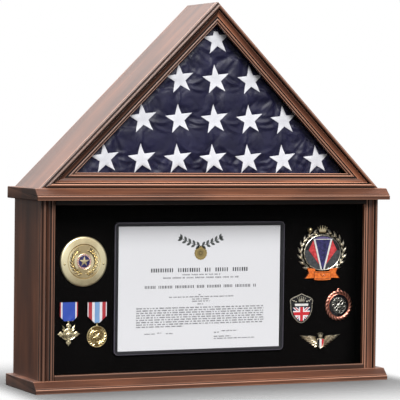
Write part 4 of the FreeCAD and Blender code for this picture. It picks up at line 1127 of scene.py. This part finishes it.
def ribbon_silk(name, middle, bands):
    """Corded silk with upright stripes: bands are colours from the middle out, each with its edge."""
    def recipe(start):
        across, _, up = spot(start).split()
        out = abs(across - middle * MM)
        colour = bands[-1][0]
        for band, limit in reversed(bands[:-1]):
            colour = (out > limit * MM).between(band, colour)
        cords = (up * 7000).wave()
        threads = spot(start).stretched(3800, 200, 500).noise(1, 3)
        # The colour is darkened in an uneven pattern of threads, and faintly between the cords as painted
        # shade.
        shaded = (cords * 0.1 + threads * 0.55).fade(-0.05, 0.6)
        worn = shaded.node("ShaderNodeMix", {"data_type": "RGBA", "blend_type": "MULTIPLY"},
                           {0: 0.5, 6: colour, 7: shaded.between((0.45, 0.45, 0.45), (1, 1, 1))}, 2)
        return {"Base Color": worn, "Roughness": 0.5, "Sheen Weight": 0.1,
                "Normal": (cords * 0.5 + threads).bump(0.3, 0.0003)}
    return surface(name, recipe)


SILK_WHITE, SILK_RED = tone(232, 230, 234), tone(176, 32, 44)
SILK_SKY, SILK_BLUE = tone(136, 174, 216), tone(92, 138, 196)
FINISHES["blue_ribbon"] = ribbon_silk("blue_ribbon_silk", LEFT_X, [
    (tone(38, 74, 178), 11.2), (SILK_WHITE, 13.7), (SILK_RED, 17)])
FINISHES["red_ribbon"] = ribbon_silk("red_ribbon_silk", RIGHT_X, [
    (SILK_SKY, 0.7), (SILK_BLUE, 1.5), (SILK_SKY, 2.9), (SILK_BLUE, 4.2), (SILK_WHITE, 8.9), (SILK_RED, 15.2),
    (SILK_WHITE, 17)])


def ribbon(name, middle, top, foot, width, foot_width, slot):
    """A ribbon of two close layers that hangs from its brooch and narrows to the bar at its foot."""
    columns, rows = 28, 20
    sloped = top - RIBBON_STRAIGHT - foot
    grid, faces = [], []
    for side in (1, -1):
        for row in range(rows + 1):
            level = top + (foot - top) * row / rows
            low = max(0, (top - RIBBON_STRAIGHT - level) / sloped)
            half = (width + (foot_width - width) * low) / 2
            for column in range(columns + 1):
                share = column / columns * 2 - 1
                ripple = 0.18 * math.sin(share * 5 + row * 0.35) * (row / rows) + 0.12 * math.cos(share * 2.6)
                pinch = 0.35 * low * (1 - share * share)
                grid.append((middle + half * share, RIBBON_Y - 0.25 - ripple - pinch - 0.25 * side, level))
    count = columns + 1
    layer = count * (rows + 1)
    for start in (0, layer):
        for row in range(rows):
            for column in range(columns):
                first = start + row * count + column
                faces.append((first, first + 1, first + count + 1, first + count))
    rim = (list(range(count)) + [row * count + columns for row in range(1, rows + 1)]
           + [rows * count + column for column in range(columns - 1, -1, -1)]
           + [row * count for row in range(rows - 1, 0, -1)])
    for here, after in zip(rim, rim[1:] + rim[:1]):
        faces.append((here, after, layer + after, layer + here))
    made = piece(f"{name}_ribbon_silk", grid, faces, slot, (f"{name}_medal_ribbon",), "display_unit")


ribbon("left", LEFT_X, LEFT_TOP, LEFT_FOOT, LEFT_WIDTH, LEFT_FOOT_WIDTH, "blue_ribbon")
ribbon("right", RIGHT_X, RIGHT_TOP, RIGHT_FOOT, RIGHT_WIDTH, RIGHT_FOOT_WIDTH, "red_ribbon")

CROSS_HALF, CROSS_TOP, CROSS_RING, EYE_DROP, EYE_RADIUS, EYE_WIRE = 20.25, 17.4, 8.8, 2.55, 1.1, 0.32
CROSS_DROP = 1.2 + CROSS_HALF
cross = Casting((LEFT_X, LEFT_FOOT - CROSS_DROP))
for turn in (0, 90, 180, 270):
    arm = both([(2.5, 3), (2.2, 8), (2.6, 11), (4.6, 12.8), (4.2, 15.2), (2.6, 16.4), (1.4, 17.2),
                (0, CROSS_HALF if turn else CROSS_TOP)])
    way_a, way_b = around(1, turn)
    cross.raised([(a * way_a - b * way_b, a * way_b + b * way_a) for a, b in arm], PENDANT_BACK,
                 [(0, 0, -1), (0, 0.7, -0.4), (0.5, 1.15, 0.6), (0.9, 1.25, 0.3)])
    for size, reach in ((1.5, 4), (1.2, 8), (1.5, 12)):
        cross.bead(-way_b * reach, PENDANT_BACK - 1.15, way_a * reach, size, 0.55)
for side in (-1, 1):
    cross.leaf(side * 4, PENDANT_BACK, 3.5, 90 - side * 33, 14, 3.6, 1.6)
    cross.leaf(side * 4.4, PENDANT_BACK, 3, 90 - side * 52, 9, 3, 1.4)
    cross.ring(PENDANT_BACK - 0.8, side * 12.4, 9.6, 0.85, -10, -74, 12, 0.7)
cross.ring(PENDANT_BACK - 0.9, CROSS_RING, CROSS_RING, 0.75, wear=0.3)
for step in range(16):
    turn = 22.5 * step
    a, b = around(CROSS_RING, turn)
    cross.leaf(a, PENDANT_BACK - 1.2, b, turn + 110, 4.2, 1.7, 0.8, 4)
cross.turned(PENDANT_BACK, [
    (6.6, 0, -1), (6.6, 1, 0), (6, 1.5, 0.7), (5.2, 1.4, -0.8), (3.6, 1.9, 0.5), (0.3, 2.2, 0.8)], 32)
cross.star(PENDANT_BACK - 1.8, 4.2, 0.7)
cross.ring(RIBBON_Y, EYE_RADIUS, EYE_RADIUS, EYE_WIRE, steps=24, lift=CROSS_DROP - EYE_DROP)
cross.make("left_medal_cross_relief", "brass", ("left_medal_cross",), "left_pendant",
           metal("pale_gold", (84, 68, 40), (246, 232, 190), 0.26, 120))

DISC_RADIUS, DISC_DROP = 17.75, 22.5
pendant = Casting((RIGHT_X, RIGHT_FOOT - DISC_DROP))
pendant.turned(PENDANT_BACK, [
    (DISC_RADIUS, 0, -1), (DISC_RADIUS, 1.1, 0.4), (17.3, 1.45, 1), (16.5, 1.4, 0.4), (15.9, 0.8, -1),
    (14, 0.75, -0.6), (0.4, 0.9, -0.5)], 72)
pendant.spray(PENDANT_BACK - 0.75, 13, 13, [-80 + 17 * station for station in range(8)], (-26, 22),
              (6, 2.5, 1, 4))
for turn in range(90, 450, 72):
    a, b = around(7.6, turn)
    pendant.bead(a, PENDANT_BACK - 0.8, b, 0.9)
pendant.star(PENDANT_BACK - 0.8, 7.4, 1.3, 36)
pendant.ring(PENDANT_BACK - 0.9, 9.4, 9.4, 0.4)
lug = [(2.1, DISC_RADIUS - 0.8), (1.4, DISC_RADIUS + 1), (0.8, DISC_RADIUS + 1.5), (0, DISC_RADIUS + 1.6)]
pendant.raised(both(lug), PENDANT_BACK, edge(1.4))
pendant.ring(RIBBON_Y, EYE_RADIUS, EYE_RADIUS, EYE_WIRE, steps=24, lift=DISC_DROP - EYE_DROP)
pendant.make("right_medal_disc_relief", "brass", ("right_medal_disc",), "right_pendant",
             metal("medal_gold", (132, 106, 62), (246, 226, 170), 0.26, 160))

# Wreath badge: silver leaves, a gold crown, an oval of enamels with a silver rim, and a banner
BADGE, WREATH_WIDTH, WREATH_HEIGHT, FIELDS = (226.4, 215), 41.8, 35.5, FELT - 2.4
wreath = Casting(BADGE)
wreath.spray(FELT, WREATH_WIDTH, WREATH_HEIGHT, [-68 + 16.6 * station for station in range(9)], (-23, 23),
             (12.4, 4.4, 2.6))
for half_width in (-WREATH_WIDTH, WREATH_WIDTH):
    wreath.ring(FELT - 0.8, half_width, WREATH_HEIGHT, 0.55, -84, 78, 36, -0.3)
wreath.ring(FELT - 1.9, 34.9, 30.1, 0.8)
wreath.make("badge_wreath_silver", "antique_silver", ("badge_wreath",))
crown = Casting(BADGE)
crown.crown(FELT, 33.4, 17.5, 12.4, 1.6)
crown.make("badge_crown", "brass", finish=metal("crown_gold", (116, 92, 58), (252, 236, 196), 0.26, 120))
oval = Casting(BADGE)
oval.turned(FELT, [(1, 0, 0), (1, 1.7, 0), (0.985, 2.2, 0), (0.96, 2.3, 0), (0.01, 2.4, 0)], 72, 34.6, 29.8)
oval.make("badge_oval_enamel", "grey_enamel", ("badge_oval",))
BLACK_ENAMEL = enamel("black_enamel", (20, 19, 24), (10, 9, 12))
upper_half = [(around(33.2, turn)[0], around(28.4, turn)[1]) for turn in range(9, 180, 9)]
inlay("badge_black_field", BADGE, upper_half, FELT - 2.3, edge(0.3, 0.1), "grey_enamel", finish=BLACK_ENAMEL)
inlay("badge_top_band", BADGE, both([(19.5, 22.6), (16, 24.4), (9, 26.8), (0, 27.6)]), FELT - 2.5,
      edge(0.4, 0.1), "navy_enamel", finish=enamel("lilac_enamel", (104, 92, 140), (70, 62, 108)))
inlay("badge_navy_stripe", BADGE, both([(0, -28.5), (1.3, -28.5), (14.6, 22), (0, 22)]), FIELDS,
      edge(0.7, 0.2), "navy_enamel", ("badge_enamel",))
pale, wedges = Casting(BADGE), Casting(BADGE)
for side in (-1, 1):
    slat, kite, fold = ([(side * a, b) for a, b in corners] for corners in (
        ((1.1, -29.5), (3.8, -29.5), (18.2, 22.6), (14.8, 22.6)), ((6.6, -20.4), (27.2, 4.5), (18.6, 21)),
        ((10, -12), (24.6, 4.6), (18.4, 17.5))))
    pale.raised(slat, FIELDS, edge(1, 0.25))
    wedges.raised(kite, FIELDS, edge(0.6, 0.2))
    wedges.raised(fold, FIELDS - 0.5, [(0, 0, 0), (0.8, 0.35, 0), (1.6, 0.5, 0)])
pale.wire([(side * 18.6, FIELDS - 0.5, 22.8) for side in (-1, 1)], 0.7)
pale.make("badge_white_stripes", "grey_enamel", finish=WHITE_ENAMEL)
wedges.make("badge_red_wedges", "red_enamel", finish=enamel("rose_enamel", (214, 74, 76), (180, 44, 50)))

BANNER, BANNER_Y = (BADGE[0], 177.9), FELT - 1.6
banner = Casting(BANNER)
for side in (-1, 1):
    tail = [(side * a, b) for a, b in ((14, 9.6), (29.6, 10.4), (26.4, 1.6), (33.4, -7), (14, -6.4))]
    banner.raised(tail, BANNER_Y, edge(1, 0.25))
banner.raised(both([(0, -10.5), (8, -10.3), (16, -9.6), (16, 5.2), (8, 4.6), (0, 4.4)]), BANNER_Y,
              edge(1.8, 0.3))
banner.make("badge_banner_enamel", "orange_enamel", ("badge_banner",))
BANNER_LINES = [
    ([(-14, 3), (0, 2.4), (14, 3)], 3.4), ([(-14, -7.6), (0, -8.4), (14, -7.6)], 3.4),
    ([(-4, -0.4), (0, -4.4), (4, -0.4)], 3.4)]
for side in (-1, 1):
    BANNER_LINES += [([(side * 16, 5), (side * 16, -9.4)], 3.2),
                     ([(side * 29, 9.8), (side * 26, 1.6), (side * 32.6, -6.4)], 2.6)]
banner_lines = Casting(BANNER)
for line, level in BANNER_LINES:
    banner_lines.wire([(a, FELT - level, b) for a, b in line], 0.5, wear=-0.6)
banner_lines.make("badge_banner_lines", "orange_enamel",
                  finish=enamel("umber_enamel", (132, 62, 22), (104, 44, 14)))

BALL, BALL_RADIUS, BALL_FOOT = (199.5, 254.2), 4.8, 1.2
turning("push_pin_ball", BALL, FELT, [(1.4, 0, -1), (1.4, 1, 0)] + [
    (around(BALL_RADIUS, turn)[1], BALL_FOOT + BALL_RADIUS - around(BALL_RADIUS, turn)[0], 0.4)
    for turn in (20, 40, 60, 75, 90, 105, 120, 135, 150, 165, 178)], 32, "brass", ("push_pin",))

# Shield pin: a silver rim, a black field with a crown, a white bar and a union field
SHIELD, SHIELD_FACE, UNION_DROP, UNION_WIDE, UNION_HIGH = (187.2, 119.8), FELT - 1.6, 9, 16.5, 13.5
shield_outline = one_way(both([
    (0, 25.8), (7, 22.6), (14.4, 20), (20.8, 16.6), (22.5, 13), (21.4, 7), (21.2, 0), (20.6, -4),
    (17.6, -12), (12, -19), (6, -24), (0, -25.8)]))
shield = Casting(SHIELD)
shield.raised(shield_outline, FELT, [
    (0, 0, -1), (0, 1.5, 0.2), (0.4, 1.95, 1), (1.5, 2, 0.9), (1.8, 1.6, -0.6), (2, 1.3, -1)])
shield.crown(FELT - 1.7, 9.6, 15, 10.4, 0.7)
for side in (-1, 1):
    for a, b, size in ((10.5, 11.4, 1.7), (14.6, 12.8, 1.5), (17.6, 14.4, 1.2)):
        shield.bead(side * a, SHIELD_FACE, b, size, 0.6)
shield.make("shield_pin_silver", "antique_silver", ("shield_pin",))
inlay("shield_black_ground", SHIELD, inset(shield_outline, 2.1), FELT, [
    (0, 0, 0), (0, 1.6, 0), (0.3, 1.7, 0)], "red_enamel", finish=BLACK_ENAMEL)
inlay("shield_white_bar", SHIELD, [(-12.5, 4), (12.5, 4), (13.2, 8), (-13.2, 8)], SHIELD_FACE, edge(0.7, 0.2),
      "red_enamel", finish=WHITE_ENAMEL)


def union_field(start):
    """Red and white crosses, upright and slanting, on deep blue."""
    x, _, z = spot(start).split()
    across = (x - SHIELD[0] * MM) / (UNION_WIDE * MM)
    up = (z - (SHIELD[1] - UNION_DROP) * MM) / (UNION_HIGH * MM)
    upright = across.sum("MINIMUM", abs(across), abs(up) * 0.82)
    slanting = abs(abs(across) - abs(up))
    blue = spot(start).noise(300, 2).between(tone(24, 26, 58), tone(40, 42, 84))
    shade = (slanting < 0.24).between(blue, tone(228, 224, 226))
    shade = (slanting < 0.09).between(shade, tone(186, 36, 46))
    shade = (upright < 0.3).between(shade, tone(232, 228, 230))
    shade = (upright < 0.17).between(shade, tone(196, 36, 46))
    return {"Base Color": shade, "Roughness": 0.18, "Coat Weight": 0.4}


union_outline = both([(0, 2.4), (16.6, 1.6), (16.9, -3), (15.2, -9), (11.4, -15), (6.4, -20), (0, -22.4)])
inlay("shield_union_field", SHIELD, union_outline, SHIELD_FACE, edge(0.8, 0.25), "red_enamel",
      ("shield_enamel",), surface("union_field", union_field))

# Rosette pin: a roped rim in rose gold round a dark well with silver filigree
ROSETTE, FILIGREE = (259.7, 123), FELT - 1.5
rosette = Casting(ROSETTE)
rosette.turned(FELT, [
    (23.6, 0, -1), (23.6, 1.4, -1), (21, 2, -0.6), (20.3, 2.3, 0.8), (19.2, 2.2, 0.4), (18.9, 1.3, -1),
    (0.4, 1.2, -1)], 80)
rosette.rope(FELT - 1.5, 23.2, 3.3, 22)
rosette.ring(FELT - 2.4, 19.9, 19.9, 0.5, wear=0.8)
rosette.ring(FELT - 1.3, 2.6, 2.6, 0.9, steps=24, wear=0.6, lift=26.4)
rosette.make("rosette_rim", "rose_gold", ("rosette_pin",))
turning("rosette_well", ROSETTE, FELT - 1.2, [(18.7, 0, 0), (18.5, 0.3, 0), (0.4, 0.4, 0)], 64, "rose_gold",
        finish=BLACK_ENAMEL)
filigree = Casting(ROSETTE)
filigree.turned(FILIGREE, [(3.2, 0, -1), (3.2, 0.7, 0), (2.4, 1.3, 0.8), (0.3, 1.6, 0.6)], 24)
for turn in range(0, 360, 45):
    way_a, way_b = around(1, turn)
    petal = []
    for place in range(0, 360, 15):
        along, side = 8 + around(4.6, place)[0], around(2.6, place)[1]
        petal.append((along * way_a - side * way_b, FILIGREE - 0.3, along * way_b + side * way_a))
    filigree.wire(petal, 0.5, True, wear=0.7)
    for reach, shift, size in ((8.4, 0, 1.1), (12, 22.5, 0.9)):
        a, b = around(reach, turn + shift)
        filigree.bead(a, FILIGREE, b, size)
filigree.ring(FELT - 1.7, 13.9, 13.9, 0.4, wear=-0.1)
filigree.make("rosette_filigree", "antique_silver", ("rosette_centre",),
              finish=metal("dull_silver", (34, 33, 31), (176, 173, 162), 0.3, 160))

# Wings pin: two tiers of feathers on each side of a striped crest, with a crown above it
WINGS = (224.6, 63.8)
LONG_TIPS = [(11.5, -11.8), (16.6, -8), (21.6, -4.4), (26.4, -1), (31, 2.2), (35.4, 5.4), (39.6, 9)]
SHORT_TIPS = [(12, -6.8), (16, -3.5), (19.8, -0.5), (23.2, 2.3), (26.4, 5), (29.2, 7.6)]
wings = Casting(WINGS)
for tips, lift in ((LONG_TIPS, 0), (SHORT_TIPS, 0.9)):
    for number, tip in enumerate(tips):
        root = Vector((4.6 + 0.7 * number, tips[0][1] + 2.6 + 2.1 * number))
        way = Vector(tip) - root
        turn = math.degrees(math.atan2(way.y, way.x))
        for side, angle in ((1, turn), (-1, 180 - turn)):
            wings.leaf(side * root.x, FELT - lift, root.y, angle, way.length, 3, 1.5)
crest_outline = one_way(both([(0, 3.2), (6.4, 2.4), (6.5, -4), (4.6, -10), (0, -14.2)]))
wings.wire([(a, FELT - 2.6, b) for a, b in crest_outline], 0.6, True, wear=0.7)
wings.crown(FELT - 1.2, 4, 9.5, 9.6, 1)
wings.make("wings_pin_feathers", "antique_silver", ("wings_pin",),
           finish=metal("wing_gold", (40, 32, 22), (246, 232, 200), 0.26, 160))


def crest_stripes(start):
    """Three upright stripes of enamel: black, white and red."""
    across = spot(start).split()[0] - WINGS[0] * MM
    swim = spot(start).noise(300, 2)
    black = swim.between(tone(16, 14, 18), tone(28, 26, 32))
    shade = (across > -1.9 * MM).between(black, tone(230, 226, 224))
    return {"Base Color": (across > 2.1 * MM).between(shade, tone(190, 38, 48)),
            "Roughness": 0.16 + swim * 0.08, "Coat Weight": 0.4}


inlay("wings_crest", WINGS, crest_outline, FELT, [(0, 0, 0), (0, 2.4, 0), (0.3, 2.7, 0), (1, 2.8, 0)],
      "red_enamel", ("wings_shield",), surface("crest_stripes", crest_stripes))

# Pull knobs on the two lift-out panels
KNOB_Y = 61.5
KNOB = [(5.6, 0, -1), (5.6, -0.6, 0.2), (4.6, -1.2, -0.6), (4.4, -2.6, -0.6), (5.2, -3.6, 0), (8, -4.4, 0.2),
        (9, -5.8, 0.6), (8.9, -7, 0.5), (7.8, -8.3, 0.4), (5, -8.9, 0.2), (0.4, -9, 0.2)]
for name, level, body in (("rear", 163.5, "display_unit"), ("flag", 429.3, "flag_back")):
    turning(f"{name}_knob_brass", (0, level), KNOB_Y, KNOB, 40, "brass", (f"{name}_panel_knob",), body)

# Everything that keeps its CAD shape takes its finish here
for node, obj in frame["nodes"].items():
    for material_slot in obj.material_slots:
        material_slot.material = FINISHES[SLOT_OF[node]]

# Room: a dark floor that keeps the case's shadow and fades to white away from the base, so that it paints a
# shadow round it, a white backdrop, soft light from above and in front
floor_mesh = bpy.data.meshes.new("floor")
floor_mesh.from_pydata([(-8, -8, 0), (8, -8, 0), (8, 30, 0), (-8, 30, 0)], [], [(0, 1, 2, 3)])
floor = bpy.data.objects.new("floor", floor_mesh)
bpy.context.scene.collection.objects.link(floor)
FLOOR_PAINTED_SHADOW_TONES, FLOOR_FADE, SIDE_FADE = (0.115, 0.12), 0.36, 6


def pale_floor(start):
    """A dark grey floor that fades into the white room, sooner at the sides than in front: a painted shadow
    round the base, longer in front.
    """
    place = spot(start)
    across, deep, _ = place.split()
    # The fade, from the base's outline and squeezed at the sides, shapes the painted shadow.
    beside = (abs(across) - HALF_BOARD * MM).at_least(0)
    before = (abs(deep) - REAR * MM).at_least(0)
    far = ((beside * SIDE_FADE) ** 2 + before ** 2) ** 0.5
    return {"Base Color": place.noise(3, 2).between(*[(shade,) * 3 for shade in FLOOR_PAINTED_SHADOW_TONES]),
            "Roughness": 0.8, "Specular IOR Level": 0.1, "Alpha": 1 - far.fade(0, FLOOR_FADE)}


floor_mesh.materials.append(surface("pale_floor", pale_floor))

scene = bpy.context.scene
scene.view_settings.view_transform = "Standard"
world = bpy.data.worlds.new("white_room")
world.use_nodes = True
world.node_tree.nodes.clear()
room = Wire(world.node_tree)
seen, glossed, passed = [room.node("ShaderNodeLightPath", out=f"Is {ray} Ray")
                         for ray in ("Camera", "Glossy", "Transmission")]
_, back, high = room.node("ShaderNodeTexCoord", out="Generated").split()
white_back = back.fade(-0.35, 0.3) * high.fade(-0.1, 0.25) * 0.95
white_front = (0 - back).fade(0.3, 0.85) * high.fade(-0.35, 0.3) * 0.85
shown = seen.at_least(passed)
level = shown + (1 - shown) * (glossed * (white_back + white_front + 0.05) + (1 - glossed) * 0.3)
background = room.node("ShaderNodeBackground", None, {"Color": (1, 1, 1), "Strength": level})
world.node_tree.links.new(background.socket,
                          world.node_tree.nodes.new("ShaderNodeOutputWorld").inputs["Surface"])
scene.world = world


def sun(name, aim, strength, spread, glint=True):
    """A broad soft light that shines along a direction, with or without a glint of its own in gloss."""
    lamp = bpy.data.lights.new(name, "SUN")
    lamp.energy = strength
    lamp.angle = math.radians(spread)
    obj = bpy.data.objects.new(name, lamp)
    obj.visible_glossy = glint
    obj.rotation_euler = Vector(aim).to_track_quat("-Z", "Y").to_euler()
    scene.collection.objects.link(obj)


sun("front_light", (0.02, 0.79, -0.61), 3.6, 30)
sun("top_light", (0.06, 0.1, -0.993), 4.5, 34, glint=False)
sun("roof_light", (0.0, -0.5, -0.866), 3.5, 50)

# Camera at the photograph's place
EYE, LENS, SENSOR = Vector((-1.4786, -3.1976, 0.4220)), 189.5, 36
YAW, PITCH, ROLL = math.radians(24.749), math.radians(-1.890), math.radians(0.699)
ahead = Vector((math.sin(YAW) * math.cos(PITCH), math.cos(YAW) * math.cos(PITCH), math.sin(PITCH)))
level_right = Vector((math.cos(YAW), -math.sin(YAW), 0))
level_up = level_right.cross(ahead)
right = level_right * math.cos(ROLL) + level_up * math.sin(ROLL)
up = level_up * math.cos(ROLL) - level_right * math.sin(ROLL)
camera = bpy.data.objects.new("camera", bpy.data.cameras.new("camera"))
camera.data.lens = LENS
camera.data.sensor_width = SENSOR
camera.data.clip_end = 100
camera.matrix_world = Matrix.Translation(EYE) @ Matrix((right, up, -ahead)).transposed().to_4x4()
scene.collection.objects.link(camera)
scene.camera = camera
